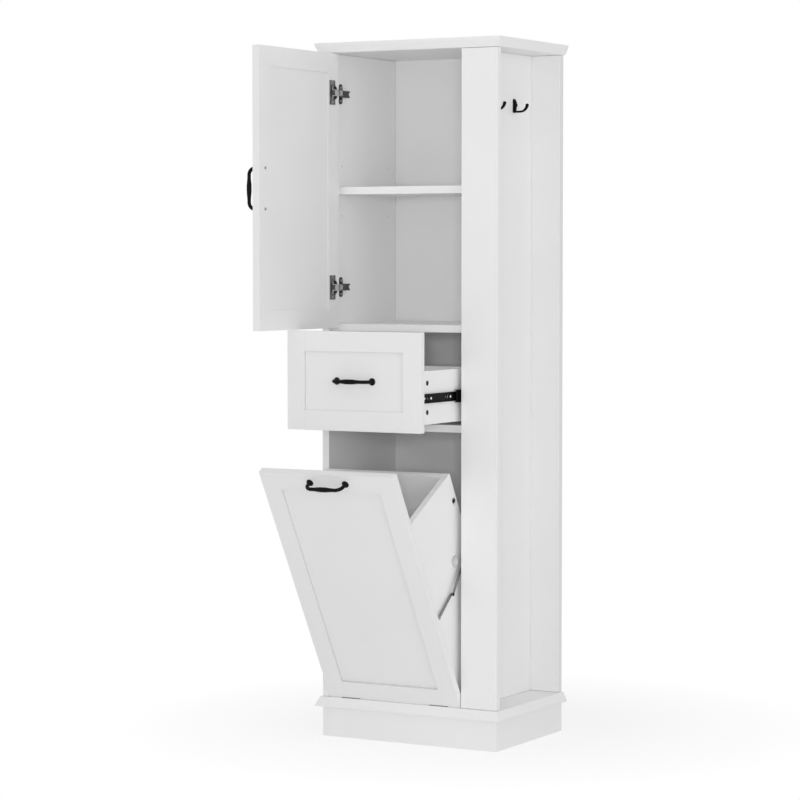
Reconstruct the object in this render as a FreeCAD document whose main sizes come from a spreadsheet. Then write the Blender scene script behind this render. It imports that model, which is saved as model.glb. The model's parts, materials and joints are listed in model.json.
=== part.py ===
import FreeCAD, Part
import math
import os
import Sketcher

# Storage cabinet with an inset door, a drawer and a tilt-out hamper.
# X runs to the right, Y to the back and Z up.
# The origin is the middle of the underside of the rear plinth board.

doc = FreeCAD.newDocument("Cabinet")
sheet = doc.addObject("Spreadsheet::Sheet", "Dims")


class Size:
    """A length kept as a formula over the sheet together with its present value."""

    def __init__(self, formula, value):
        self.formula = formula
        self.value = value

    def join(self, sign, other, value):
        """Return the size made of this one and another with a sign between them."""
        return Size(f"({self.formula} {sign} {text_of(other)})", value)

    def __add__(self, other):
        return self.join("+", other, self.value + value_of(other))

    def __radd__(self, other):
        return self + other

    def __sub__(self, other):
        return self.join("-", other, self.value - value_of(other))

    def __mul__(self, other):
        return self.join("*", other, self.value * value_of(other))

    def __truediv__(self, other):
        return self.join("/", other, self.value / value_of(other))

    def __neg__(self):
        return Size(f"(0 - {self.formula})", -self.value)


def value_of(item):
    """Return the number behind a size or a plain count."""
    return item.value if isinstance(item, Size) else float(item)


def text_of(item):
    """Return the formula behind a size or a plain count."""
    return item.formula if isinstance(item, Size) else repr(item)


rows = []


def dimension(name, number):
    """Put one driving dimension in the sheet and return it as a size."""
    rows.append(name)
    row = str(len(rows))
    sheet.set("A" + row, name)
    sheet.set("B" + row, str(number))
    sheet.setAlias("B" + row, name)
    return Size("Dims." + name, float(number))


# Carcass
body_width = dimension("body_width", 482)
body_depth = dimension("body_depth", 352)
total_height = dimension("total_height", 1700)
board = dimension("board_thickness", 18)
cap = dimension("cap_thickness", 24)
overhang = dimension("cap_overhang", 14)
plinth_height = dimension("plinth_height", 74)
niche_depth = dimension("niche_depth", 78)
cabinet_floor_level = dimension("cabinet_floor_level", 1017)
drawer_floor_level = dimension("drawer_floor_level", 777)
shelf_setback = dimension("shelf_setback", 20)
back_thickness = dimension("back_thickness", 3)
back_groove = dimension("back_groove_depth", 6)

# Moulded edge of the top and base boards
edge_flat = dimension("edge_flat", 6)
edge_step = dimension("edge_step", 7.5)
edge_small_round = dimension("edge_small_round", 1.5)
edge_cove_start = dimension("edge_cove_start", 7)
edge_cove_end = dimension("edge_cove_end", 17)
edge_cove_radius = dimension("edge_cove_radius", 11)
edge_corner_round = dimension("edge_corner_round", 1.5)

# Adjustable shelf and its pins
shelf_rise = dimension("shelf_middle_rise", 325)
shelf_side_gap = dimension("shelf_side_gap", 1)
shelf_front_setback = dimension("shelf_front_setback", 26)
pin_diameter = dimension("pin_diameter", 5)
pin_hole_depth = dimension("pin_hole_depth", 10)
pin_reach = dimension("pin_reach", 8)
pin_step = dimension("pin_step", 60)
pin_front = dimension("pin_front_distance", 63)
pin_back = dimension("pin_back_distance", 296)
pin_room = dimension("pin_notch_room", 0.2)

# Framed fronts
front_gap = dimension("front_gap", 2)
frame_member = dimension("frame_member_width", 48)
panel_thickness = dimension("panel_thickness", 6)
frame_groove = dimension("frame_groove_depth", 4.5)
panel_play = dimension("panel_play", 0.5)
door_lap = dimension("door_lap", 10)
drawer_lap = dimension("drawer_lap", 8)
hamper_lap = dimension("hamper_lap", 3.5)

# Bow handles
handle_spacing = dimension("handle_spacing", 96)
handle_reach = dimension("handle_reach", 26.5)
handle_bend = dimension("handle_bend_radius", 20)
handle_end_radius = dimension("handle_end_radius", 4)
handle_middle_radius = dimension("handle_middle_radius", 5.9)
foot_radius = dimension("foot_radius", 8.75)
foot_edge = dimension("foot_edge_height", 1.2)
foot_height = dimension("foot_height", 4.5)
handle_screw_radius = dimension("handle_screw_radius", 2)
handle_screw_bite = dimension("handle_screw_bite", 8)
handle_screw_room = dimension("handle_screw_room", 0.3)
screw_head_radius = dimension("screw_head_radius", 3.5)
screw_head_height = dimension("screw_head_height", 2.2)
door_handle_edge = dimension("door_handle_edge_distance", 26.5)
hamper_handle_drop = dimension("hamper_handle_drop", 24)

# Concealed door hinges
door_axis_x = dimension("door_axis_from_edge", 6.95)
door_axis_y = dimension("door_axis_from_face", 4.85)
door_open_degrees = dimension("door_open_degrees", 90)
lower_hinge_rise = dimension("lower_hinge_rise", 99)
upper_hinge_drop = dimension("upper_hinge_drop", 95)
cup_distance = dimension("cup_edge_distance", 25.5)
cup_radius = dimension("cup_radius", 17.5)
cup_depth = dimension("cup_depth", 11.5)
cup_wall = dimension("cup_wall", 1)
ear_width = dimension("cup_ear_width", 26)
ear_length = dimension("cup_ear_length", 59)
ear_thickness = dimension("cup_ear_thickness", 1.2)
ear_margin = dimension("cup_ear_margin", 1.5)
link_width = dimension("link_width", 3)
link_thickness = dimension("link_thickness", 1.5)
link_spread = dimension("link_spread", 6.2)
link_pin_x = dimension("link_pin_from_edge", 21.8)
link_pin_y = dimension("link_pin_from_face", 13.9)
link_knee_x = dimension("link_knee_from_edge", 9.8)
link_knee_y = dimension("link_knee_from_face", 23.9)
link_end_x = dimension("link_end_from_panel", 2.3)
plate_front = dimension("plate_front_distance", 47)
plate_wing_width = dimension("plate_wing_width", 18)
plate_wing_length = dimension("plate_wing_length", 49)
plate_thickness = dimension("plate_thickness", 2)
plate_block_end = dimension("plate_block_length", 30)
arm_width = dimension("arm_width", 16.5)
arm_height = dimension("arm_height", 9)
arm_wall = dimension("arm_wall", 1.5)
arm_front = dimension("arm_front_distance", 40)
arm_rear = dimension("arm_rear_distance", 84)
neck_width = dimension("neck_width", 11)
neck_overlap = dimension("neck_overlap", 6)
neck_tip_y = dimension("neck_tip_distance", 9.5)
neck_rivet = dimension("neck_rivet_radius", 1.2)
neck_inner_x = dimension("neck_inner_reach", 26.2)
neck_outer_x = dimension("neck_outer_reach", 31)
neck_crank_y = dimension("neck_crank_distance", 24)
arm_screw_radius = dimension("arm_screw_radius", 3.4)
arm_screw_height = dimension("arm_screw_height", 0.8)
arm_screw_front = dimension("arm_screw_front", 53)
arm_screw_back = dimension("arm_screw_back", 74)

# Drawer
drawer_height = dimension("drawer_front_height", 236)
drawer_out = dimension("drawer_travel_shown", 196)
slide_space = dimension("slide_space", 12.7)
drawer_side = dimension("drawer_side_thickness", 12)
drawer_box_height = dimension("drawer_box_height", 126)
drawer_box_rise = dimension("drawer_box_rise", 10.5)
drawer_box_length = dimension("drawer_box_length", 300)
drawer_bottom_rise = dimension("drawer_bottom_rise", 12)
drawer_bottom_thickness = dimension("drawer_bottom_thickness", 4)
drawer_bottom_groove = dimension("drawer_bottom_groove", 6)
cam_radius = dimension("cam_radius", 6)
cam_depth = dimension("cam_depth", 10)
cam_distance = dimension("cam_distance", 33.5)
cam_inset = dimension("cam_edge_inset", 28.5)

# Full extension slides
slide_rise = dimension("slide_rise", 61.5)
slide_sheet = dimension("slide_sheet_thickness", 1.2)
slide_start = dimension("slide_start", 20)
outer_height = dimension("slide_outer_height", 35)
outer_width = dimension("slide_outer_width", 8)
middle_height = dimension("slide_middle_height", 30)
middle_length = dimension("slide_middle_length", 236)
middle_web = dimension("slide_middle_web_distance", 5.3)
middle_lip = dimension("slide_middle_lip", 3.6)
inner_height = dimension("slide_inner_height", 22)
inner_width = dimension("slide_inner_width", 5.7)
inner_setback = dimension("slide_inner_setback", 2)

# Tilt-out hamper
hamper_axis_y = dimension("hamper_axis_from_face", 3)
hamper_axis_z = dimension("hamper_axis_height", 2)
hamper_open_degrees = dimension("hamper_open_degrees", 29.5)
hamper_side_space = dimension("hamper_side_space", 14)
hamper_board = dimension("hamper_board_thickness", 15)
hamper_box_drop = dimension("hamper_box_drop", 153.5)
hamper_box_back = dimension("hamper_box_back", 250)
hamper_box_rise = dimension("hamper_box_rise", 10)
hamper_bottom_thickness = dimension("hamper_bottom_thickness", 12)
vent_radius = dimension("vent_radius", 14.5)
vent_y = dimension("vent_distance", 169)
vent_drop = dimension("vent_drop", 198)
hamper_cam_radius = dimension("hamper_cam_radius", 7.5)
hamper_cam_back = dimension("hamper_cam_back_distance", 14)
hamper_cam_drop = dimension("hamper_cam_drop", 68)
hamper_cam_rise = dimension("hamper_cam_rise", 133)
butt_length = dimension("butt_hinge_length", 51)
butt_inset = dimension("butt_hinge_inset", 34.5)
butt_leaf = dimension("butt_leaf_thickness", 1)
butt_reach = dimension("butt_leaf_reach", 15)
butt_barrel = dimension("butt_barrel_radius", 1.2)
butt_pin = dimension("butt_pin_radius", 0.6)
butt_room = dimension("butt_running_room", 0.3)
butt_start = dimension("butt_leaf_start", 1.6)

# Hamper stay
stay_cabinet_y = dimension("stay_cabinet_distance", 35.4)
stay_cabinet_rise = dimension("stay_cabinet_rise", 376.6)
stay_hamper_y = dimension("stay_hamper_distance", 30)
stay_hamper_rise = dimension("stay_hamper_rise", 247)
stay_knee_y = dimension("stay_knee_distance", 33)
stay_knee_rise = dimension("stay_knee_rise", 278)
stay_thickness = dimension("stay_thickness", 2)
stay_half_width = dimension("stay_half_width", 4)
stay_upper_wall = dimension("stay_upper_wall_distance", 3)
stay_lower_wall = dimension("stay_lower_wall_distance", 4.3)
stay_room = dimension("stay_running_room", 0.3)
stay_journal = dimension("stay_journal_radius", 2.5)
stay_collar = dimension("stay_collar_radius", 4)
stay_head = dimension("stay_head_radius", 4.5)
stay_head_height = dimension("stay_head_height", 1.2)
stay_thread = dimension("stay_thread_radius", 1.5)
stay_bite = dimension("stay_bite", 10)
stay_rivet = dimension("stay_rivet_radius", 3.4)
stay_rivet_height = dimension("stay_rivet_height", 0.7)

# Robe hooks
hook_first_y = dimension("hook_front_distance", 117.5)
hook_second_y = dimension("hook_back_distance", 237)
hook_drop = dimension("hook_drop", 168)
hook_plate_height = dimension("hook_plate_height", 34)
hook_plate_width = dimension("hook_plate_width", 12.6)
hook_plate_thickness = dimension("hook_plate_thickness", 3)
hook_boss_level = dimension("hook_boss_rise", 19)
hook_boss_radius = dimension("hook_boss_radius", 5)
hook_boss_height = dimension("hook_boss_height", 5.4)
hook_rod = dimension("hook_rod_radius", 2.25)
hook_reach = dimension("hook_reach", 41)
hook_bend = dimension("hook_bend_radius", 15)
hook_tip = dimension("hook_tip_radius", 3.6)
hook_tip_rise = dimension("hook_tip_rise", 21.6)

zero = body_width - body_width
doc.recompute()

# Planes and levels that the pieces share
left = -(body_width / 2)
right = body_width / 2
back = board / 2
front = back - body_depth
inside_left = left + board
inside_right = right - niche_depth - board
panel_right = inside_right + board
inside_width = inside_right - inside_left
base_top = plinth_height + cap
top_under = total_height - cap
inside_height = top_under - base_top
rear_plane = back - board
back_plane = rear_plane - back_thickness
front_left = inside_left + front_gap
front_right = inside_right - front_gap
front_back = front + board
panel_face = front + (board - panel_thickness) / 2
shelf_front = front + shelf_setback
shelf_level = cabinet_floor_level + shelf_rise
hook_bottom = total_height - hook_drop
stay_cabinet_z = base_top + stay_cabinet_rise
stay_hamper_z = base_top + stay_hamper_rise
stay_knee_z = base_top + stay_knee_rise

# Rest placements of the moving assemblies
axis_x = front_left + door_axis_x
axis_y = front + door_axis_y
hinge_y = front + hamper_axis_y
hinge_z = base_top + hamper_axis_z


def turned(x, y, z, direction, angle):
    """Return the placement of a turn about a line through a point."""
    centre = FreeCAD.Vector(x.value, y.value, z.value)
    return FreeCAD.Placement(FreeCAD.Vector(), FreeCAD.Rotation(direction, angle), centre)


ACROSS = FreeCAD.Vector(1, 0, 0)
UPWARD = FreeCAD.Vector(0, 0, 1)
fixed_rest = FreeCAD.Placement()
door_rest = turned(axis_x, axis_y, zero, UPWARD, -door_open_degrees.value)
hamper_rest = turned(zero, hinge_y, hinge_z, ACROSS, hamper_open_degrees.value)
drawer_rest = FreeCAD.Placement(FreeCAD.Vector(0, -drawer_out.value, 0), FreeCAD.Rotation())
middle_rest = FreeCAD.Placement(FreeCAD.Vector(0, -(drawer_out / 2).value, 0), FreeCAD.Rotation())

nodes = []


def keep(item, label, rest):
    """Name a finished piece, give it its rest placement and list it for writing."""
    item.Label = label
    item.Placement = rest
    nodes.append(item)
    return item


def place(item, x, y, z):
    """Bind a feature's position to three sizes."""
    item.setExpression("Placement.Base.x", x.formula)
    item.setExpression("Placement.Base.y", y.formula)
    item.setExpression("Placement.Base.z", z.formula)


def solid(name):
    """Start a body."""
    return doc.addObject("PartDesign::Body", name)


def block(body, kind, x_pair, y_pair, z_pair):
    """Add or cut a block given by its lower and upper bound on each axis."""
    item = body.newObject(f"PartDesign::{kind}Box", kind + "Block")
    place(item, x_pair[0], y_pair[0], z_pair[0])
    item.setExpression("Length", (x_pair[1] - x_pair[0]).formula)
    item.setExpression("Width", (y_pair[1] - y_pair[0]).formula)
    item.setExpression("Height", (z_pair[1] - z_pair[0]).formula)
    return item


TURNS = {
    "x": FreeCAD.Rotation(FreeCAD.Vector(0, 1, 0), 90),
    "-x": FreeCAD.Rotation(FreeCAD.Vector(0, 1, 0), -90),
    "y": FreeCAD.Rotation(FreeCAD.Vector(1, 0, 0), -90),
    "-y": FreeCAD.Rotation(FreeCAD.Vector(1, 0, 0), 90),
    "z": FreeCAD.Rotation(),
}


def rod(body, kind, point, radius, length, way):
    """Add or cut a round bar that starts at a point and runs one way."""
    item = body.newObject(f"PartDesign::{kind}Cylinder", kind + "Rod")
    item.Placement = FreeCAD.Placement(FreeCAD.Vector(), TURNS[way])
    place(item, point[0], point[1], point[2])
    item.setExpression("Radius", radius.formula)
    item.setExpression("Height", length.formula)
    return item

UPRIGHT = FreeCAD.Rotation(FreeCAD.Vector(1, 0, 0), 90)
START_DOWN = FreeCAD.Rotation(FreeCAD.Vector(0, 0, 1), -90)


def quarter_ring(body, centre, ring_radius, rod_radius, rotation):
    """Add a quarter of a ring that bends a round bar."""
    item = body.newObject("PartDesign::AdditiveTorus", "Bend")
    item.Placement = FreeCAD.Placement(FreeCAD.Vector(), rotation)
    place(item, centre[0], centre[1], centre[2])
    item.setExpression("Radius1", ring_radius.formula)
    item.setExpression("Radius2", rod_radius.formula)
    item.Angle3 = 90
    return item


def arc_centre(start, end, radius):
    """Return the centre of an arc that turns anticlockwise, or clockwise for a negative radius."""
    span = end - start
    rise = math.sqrt(max(radius * radius - span.Length * span.Length / 4, 0.0))
    normal = FreeCAD.Vector(-span.y, span.x, 0).normalize()
    return (start + end) * 0.5 + normal * math.copysign(rise, radius)


# Ratio of an end's radius to its half width, a little over one so that the arc always spans its chord
ROUND_END = 1.001


def outline(body, role, corners, lift, bends=None):
    """Sketch a closed outline on one of the body's own planes.

    The corners are pairs of sizes. A bend gives the radius of the edge that leaves its corner.
    """
    bends = bends or {}
    sketch = body.newObject("Sketcher::SketchObject", "Outline")
    plane = [item for item in body.Origin.OriginFeatures if item.Role == role][0]
    sketch.AttachmentSupport = [(plane, "")]
    sketch.MapMode = "FlatFace"
    sketch.setExpression("AttachmentOffset.Base.z", lift.formula)
    points = [FreeCAD.Vector(across.value, up.value, 0) for across, up in corners]
    count = len(points)
    for index, start in enumerate(points):
        end = points[(index + 1) % count]
        bend = bends.get(index)
        if bend is None:
            sketch.addGeometry(Part.LineSegment(start, end), False)
            continue
        centre = arc_centre(start, end, bend.value)
        circle = Part.Circle(centre, FreeCAD.Vector(0, 0, 1), abs(bend.value))
        angles = [math.atan2(spot.y - centre.y, spot.x - centre.x) for spot in (start, end)]
        if bend.value < 0:
            angles.reverse()
        sketch.addGeometry(Part.ArcOfCircle(circle, angles[0], angles[1]), False)
    ends = [(2, 1) if bends.get(index) is not None and bends[index].value < 0 else (1, 2)
            for index in range(count)]
    for index in range(count):
        after = (index + 1) % count
        link = Sketcher.Constraint("Coincident", index, ends[index][1], after, ends[after][0])
        sketch.addConstraint(link)
    for index, (across, up) in enumerate(corners):
        for word, size in (("DistanceX", across), ("DistanceY", up)):
            rule = Sketcher.Constraint(word, -1, 1, index, ends[index][0], size.value)
            number = sketch.addConstraint(rule)
            sketch.setExpression(f"Constraints[{number}]", size.formula)
    for index, bend in bends.items():
        size = bend if bend.value > 0 else -bend
        number = sketch.addConstraint(Sketcher.Constraint("Radius", index, size.value))
        sketch.setExpression(f"Constraints[{number}]", size.formula)
    return sketch


def pad(body, sketch, length, towards_normal=True):
    """Pad a sketch by a length along its normal or against it."""
    item = body.newObject("PartDesign::Pad", "Pad")
    item.Profile = sketch
    item.setExpression("Length", length.formula)
    item.Reversed = not towards_normal
    body.Tip = item
    return item


def pocket(body, sketch, length, towards_normal=True):
    """Cut a sketch by a length along its normal or against it."""
    item = body.newObject("PartDesign::Pocket", "Pocket")
    item.Profile = sketch
    item.setExpression("Length", length.formula)
    item.Reversed = towards_normal
    body.Tip = item
    return item


def revolve(body, sketch, axis):
    """Turn a sketch fully about one of its own edges."""
    item = body.newObject("PartDesign::Revolution", "Turned")
    item.Profile = sketch
    item.ReferenceAxis = (sketch, [axis])
    item.Angle = 360
    body.Tip = item
    return item


def group(label, bodies, rest):
    """Hold identical pieces as separate solids of one node."""
    item = doc.addObject("Part::Compound", label)
    item.Links = bodies
    return keep(item, label, rest)


def plain_board(label, x_pair, y_pair, z_pair, rest=fixed_rest):
    """Make a board without cuts."""
    body = solid(label)
    block(body, "Additive", x_pair, y_pair, z_pair)
    return keep(body, label, rest)


# Top and base boards. The moulded edge runs along the front and both sides, mitred at the corners.
def moulded_board(label, narrow_level, sign):
    """Make a board whose narrow face is at a level and whose wide face is one thickness further."""
    def level(distance):
        return narrow_level + distance * sign

    body = solid(label)
    reach = overhang + overhang
    deep = cap + cap
    steps = [(edge_flat, zero), (edge_step, edge_small_round), (edge_step, edge_cove_start),
             (overhang, edge_cove_end), (overhang, cap - edge_corner_round),
             (overhang - edge_corner_round, cap)]
    turn = 1 if sign < 0 else -1
    bends = {1: edge_small_round * turn, 3: edge_cove_radius * -turn, 5: edge_corner_round * turn}
    corners = [(back, level(zero))]
    corners += [(front - out, level(deep_in)) for out, deep_in in steps]
    corners += [(back, level(cap))]
    profile = outline(body, "YZ_Plane", corners, left - overhang, bends)
    pad(body, profile, body_width + reach)
    for side in (-1, 1):
        edge = (body_width / 2) * side
        bound = edge + (reach + reach) * side
        waste = [(bound, level(-deep)), (edge + edge_flat * side, level(-deep))]
        waste += [(edge + out * side, level(deep_in)) for out, deep_in in steps]
        waste += [(edge + (overhang - edge_corner_round) * side, level(cap + deep)),
                  (bound, level(cap + deep))]
        side_bends = {key + 1: -size * side for key, size in bends.items()}
        cut = outline(body, "XZ_Plane", waste, -(back + reach), side_bends)
        pocket(body, cut, body_depth + reach * 2)
    return keep(body, label, fixed_rest)


moulded_board("top_board", top_under, 1)
moulded_board("base_board", base_top, -1)

# Plinth
plinth_span = (zero, plinth_height)
plain_board("plinth_front", (left, right), (front, front_back), plinth_span)
plain_board("plinth_back", (left, right), (rear_plane, back), plinth_span)
plain_board("plinth_left", (left, inside_left), (front_back, rear_plane), plinth_span)
plain_board("plinth_right", (right - board, right), (front_back, rear_plane), plinth_span)

# Side panels with the groove or rebate for the back and the rows of pin holes
carcass_span = (base_top, top_under)
pin_rows = [shelf_level + pin_step * number for number in (-1, 0, 1)]
pin_columns = [front + pin_front, front + pin_back]


def pin_holes(body, x, way):
    """Bore the rows of holes for the shelf pins into a side panel."""
    for y in pin_columns:
        for z in pin_rows:
            rod(body, "Subtractive", (x, y, z), pin_diameter / 2, pin_hole_depth, way)


left_panel = solid("left_side_panel")
block(left_panel, "Additive", (left, inside_left), (front, back), carcass_span)
back_sides = (inside_left - back_groove, inside_right + back_groove)
back_span = (back_plane, rear_plane)
block(left_panel, "Subtractive", (back_sides[0], inside_left), back_span, carcass_span)
pin_holes(left_panel, inside_left, "-x")
keep(left_panel, "left_side_panel", fixed_rest)

stay_cabinet_point = (inside_right, front + stay_cabinet_y, stay_cabinet_z)
right_panel = solid("right_side_panel")
block(right_panel, "Additive", (inside_right, panel_right), (front_back, rear_plane), carcass_span)
block(right_panel, "Subtractive", (inside_right, back_sides[1]), back_span, carcass_span)
pin_holes(right_panel, inside_right, "x")
rod(right_panel, "Subtractive", stay_cabinet_point, stay_thread, stay_bite, "x")
keep(right_panel, "right_side_panel", fixed_rest)

# Stiles that carry the open niche, and the back
plain_board("front_stile", (inside_right, right), (front, front_back), carcass_span)
plain_board("rear_stile", (inside_right, right), (rear_plane, back), carcass_span)
plain_board("back_panel", back_sides, back_span, carcass_span)

# Fixed shelves
inside_span = (inside_left, inside_right)
for label, level in (("cabinet_floor", cabinet_floor_level), ("drawer_floor", drawer_floor_level)):
    plain_board(label, inside_span, (shelf_front, back_plane), (level - board, level))

# Adjustable shelf, notched from below over its four pins
shelf = solid("adjustable_shelf")
shelf_left = inside_left + shelf_side_gap
shelf_right = inside_right - shelf_side_gap
shelf_span = (shelf_level - board / 2, shelf_level + board / 2)
notch_radius = pin_diameter / 2 + pin_room
notch_reach = pin_reach + pin_room
shelf_depth_span = (front + shelf_front_setback, back_plane - pin_room)
block(shelf, "Additive", (shelf_left, shelf_right), shelf_depth_span, shelf_span)
for y in pin_columns:
    for x_pair in ((shelf_left, inside_left + notch_reach), (inside_right - notch_reach, shelf_right)):
        block(shelf, "Subtractive", x_pair, (y - notch_radius, y + notch_radius), (shelf_span[0], shelf_level))
        rod(shelf, "Subtractive", (x_pair[0], y, shelf_level + pin_diameter / 2 - notch_radius),
            notch_radius, x_pair[1] - x_pair[0], "x")
keep(shelf, "adjustable_shelf", fixed_rest)

pins = []
for y in pin_columns:
    for x in (inside_left - pin_hole_depth, inside_right - pin_reach):
        pin = solid("Pin")
        rod(pin, "Additive", (x, y, shelf_level), pin_diameter / 2, pin_hole_depth + pin_reach, "x")
        pins.append(pin)
group("shelf_pins", pins, fixed_rest)


# Robe hooks
def robe_hook(y):
    """Make a hook on the niche wall at one depth."""
    body = solid("Hook")
    half = hook_plate_width / 2
    low = hook_bottom
    high = hook_bottom + hook_plate_height - half
    corners = [(y - half, low), (y + half, low), (y + half, high), (y - half, high)]
    face = outline(body, "YZ_Plane", corners, panel_right, {2: half * ROUND_END})
    pad(body, face, hook_plate_thickness)
    wall = panel_right + hook_plate_thickness
    rod(body, "Additive", (wall, y, low + hook_boss_level), hook_boss_radius, hook_boss_height, "x")
    rod_level = low + hook_rod
    bend_x = panel_right + hook_reach - hook_tip - hook_bend
    rod(body, "Additive", (panel_right, y, rod_level), hook_rod, bend_x - panel_right, "x")
    tip_level = low + hook_tip_rise - hook_tip
    tip_x = bend_x + hook_bend
    bend_level = rod_level + hook_bend
    quarter_ring(body, (bend_x, y, bend_level), hook_bend, hook_rod, UPRIGHT * START_DOWN)
    rod(body, "Additive", (tip_x, y, bend_level), hook_rod, tip_level - bend_level, "z")
    ball = body.newObject("PartDesign::AdditiveSphere", "Ball")
    place(ball, tip_x, y, tip_level)
    ball.setExpression("Radius", hook_tip.formula)
    return body


group("robe_hooks", [robe_hook(front + hook_first_y), robe_hook(front + hook_second_y)], fixed_rest)


# Bow handles. Each lies on the plane y = 0 of its own frame, reaches towards -y and runs along x.
FOOT_SIDES = (-1, 1)


def bow_handle(label, x, y, z, upright, rest):
    """Make a handle whose middle sits on a face at a point."""
    body = solid(label)
    half = handle_spacing / 2
    straight = half - handle_bend
    depth = handle_reach
    bar = outline(body, "XY_Plane",
                  [(-straight, -depth), (straight, -depth), (straight, -depth - handle_end_radius),
                   (-straight, -depth - handle_end_radius)],
                  zero, {2: -swell_radius(straight)})
    revolve(body, bar, "Edge1")
    for side in FOOT_SIDES:
        centre = half * side
        rod(body, "Additive", (centre, zero, zero), handle_end_radius, depth - handle_bend, "-y")
        rotation = FreeCAD.Rotation(UPWARD, -90) if side > 0 else FreeCAD.Rotation(UPWARD, 180)
        ring_centre = (straight * side, handle_bend - depth, zero)
        quarter_ring(body, ring_centre, handle_bend, handle_end_radius, rotation)
        foot(body, centre)
    for side in FOOT_SIDES:
        rod(body, "Subtractive", (half * side, zero, zero), handle_screw_radius, handle_screw_bite, "-y")
    seat = FreeCAD.Placement(FreeCAD.Vector(x.value, y.value, z.value), FreeCAD.Rotation())
    if upright:
        seat = seat * FreeCAD.Placement(FreeCAD.Vector(), FreeCAD.Rotation(FreeCAD.Vector(0, 1, 0), 90))
    return keep(body, label, rest * seat)


def swell_radius(straight):
    """Return the radius of the arc that swells the bar towards its middle."""
    rise = handle_middle_radius - handle_end_radius
    return (straight * straight + rise * rise) / (rise * 2)


def foot(body, x):
    """Add the domed foot round one post."""
    disc = [(x, zero), (x + foot_radius, zero), (x + foot_radius, -foot_edge), (x, -foot_height)]
    rise = foot_height - foot_edge
    dome = (foot_radius * foot_radius + rise * rise) / (rise * 2)
    sketch = outline(body, "XY_Plane", disc, zero, {2: -dome})
    revolve(body, sketch, "Edge4")


def handle_screws(label, x, face, z, upright, thickness, rest):
    """Make the two screws that hold a handle through a board from behind."""
    screws = []
    for side in FOOT_SIDES:
        offset = handle_spacing / 2 * side
        spot_x = x if upright else x + offset
        spot_z = z + offset if upright else z
        screw = solid("HandleScrew")
        rod(screw, "Additive", (spot_x, face + thickness, spot_z), screw_head_radius, screw_head_height, "y")
        rod(screw, "Additive", (spot_x, face - handle_screw_bite, spot_z), handle_screw_radius,
            thickness + handle_screw_bite, "y")
        screws.append(screw)
    return group(label, screws, rest)


def screw_holes(body, x, face, z, upright, thickness):
    """Bore the two handle screw holes through a board."""
    for side in FOOT_SIDES:
        offset = handle_spacing / 2 * side
        spot_x = x if upright else x + offset
        spot_z = z + offset if upright else z
        hole_radius = handle_screw_radius + handle_screw_room
        rod(body, "Subtractive", (spot_x, face, spot_z), hole_radius, thickness, "y")


# Framed fronts: two stiles with a groove, two rails with tenons, and a thin panel held in the groove
tongue_span = (panel_face, panel_face + panel_thickness)


def framed_front(owner, low, high, rest, names, bores):
    """Make the five boards of a front. Bores cuts holes into the board whose name it is given."""
    edge = front_left + frame_member
    far_edge = front_right - frame_member
    full = (front, front_back)

    def finish(body, label):
        bores(body, label)
        keep(body, f"{owner}_{label}", rest)

    stiles = [(names[0], (front_left, edge), (edge - frame_groove, edge)),
              (names[1], (far_edge, front_right), (far_edge, far_edge + frame_groove))]
    for label, span, groove in stiles:
        body = solid(f"{owner}_{label}")
        block(body, "Additive", span, full, (low, high))
        block(body, "Subtractive", groove, tongue_span, (low, high))
        finish(body, label)
    rails = [("bottom_rail", (low, low + frame_member), (low, low + frame_member - frame_groove),
              (low + frame_member - frame_groove, low + frame_member)),
             ("top_rail", (high - frame_member, high), (high - frame_member + frame_groove, high),
              (high - frame_member, high - frame_member + frame_groove))]
    for label, span, tenon, groove in rails:
        body = solid(f"{owner}_{label}")
        block(body, "Additive", (edge, far_edge), full, span)
        block(body, "Additive", (edge - frame_groove, far_edge + frame_groove), tongue_span, tenon)
        block(body, "Subtractive", (edge, far_edge), tongue_span, groove)
        finish(body, label)
    seat = frame_groove - panel_play
    body = solid(f"{owner}_panel")
    block(body, "Additive", (edge - seat, far_edge + seat), tongue_span,
          (low + frame_member - seat, high - frame_member + seat))
    finish(body, "panel")


front_middle = (front_left + front_right) / 2

# Door
door_low = cabinet_floor_level - door_lap
door_high = top_under - front_gap
hinge_levels = [door_low + lower_hinge_rise, door_high - upper_hinge_drop]
cup_x = front_left + cup_distance
door_handle_x = front_right - door_handle_edge
door_handle_level = (door_low + door_high) / 2
STILE_NAMES = ("left_stile", "right_stile")


def door_bores(body, label):
    """Bore the hinge cups and the handle screws of the door."""
    if label == "left_stile":
        for z in hinge_levels:
            rod(body, "Subtractive", (cup_x, front_back - cup_depth, z), cup_radius, cup_depth, "y")
    if label == "right_stile":
        screw_holes(body, door_handle_x, front, door_handle_level, True, board)


framed_front("door", door_low, door_high, door_rest, STILE_NAMES, door_bores)
bow_handle("door_handle", door_handle_x, front, door_handle_level, True, door_rest)
handle_screws("door_handle_screws", door_handle_x, front, door_handle_level, True, board, door_rest)

# Hinge cups with their ears, and the links that ride with them
cup_floor = front_back - cup_depth
link_pin = (front_left + link_pin_x, front + link_pin_y)


def hinge_cup(z):
    """Make the cup of one hinge with its ears on the door's inner face."""
    body = solid("HingeCup")
    brim = cup_radius + ear_margin
    rod(body, "Additive", (cup_x, cup_floor, z), cup_radius, cup_depth, "y")
    rod(body, "Additive", (cup_x, front_back, z), brim, ear_thickness, "y")
    block(body, "Additive", (cup_x + brim - ear_width, cup_x + brim),
          (front_back, front_back + ear_thickness), (z - ear_length / 2, z + ear_length / 2))
    rod(body, "Subtractive", (cup_x, cup_floor + cup_wall, z), cup_radius - cup_wall,
        cup_depth - cup_wall + ear_thickness, "y")
    rod(body, "Subtractive", (link_pin[0], link_pin[1], z - cup_radius + cup_wall), link_width / 2,
        (cup_radius - cup_wall) * 2, "z")
    return body


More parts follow.
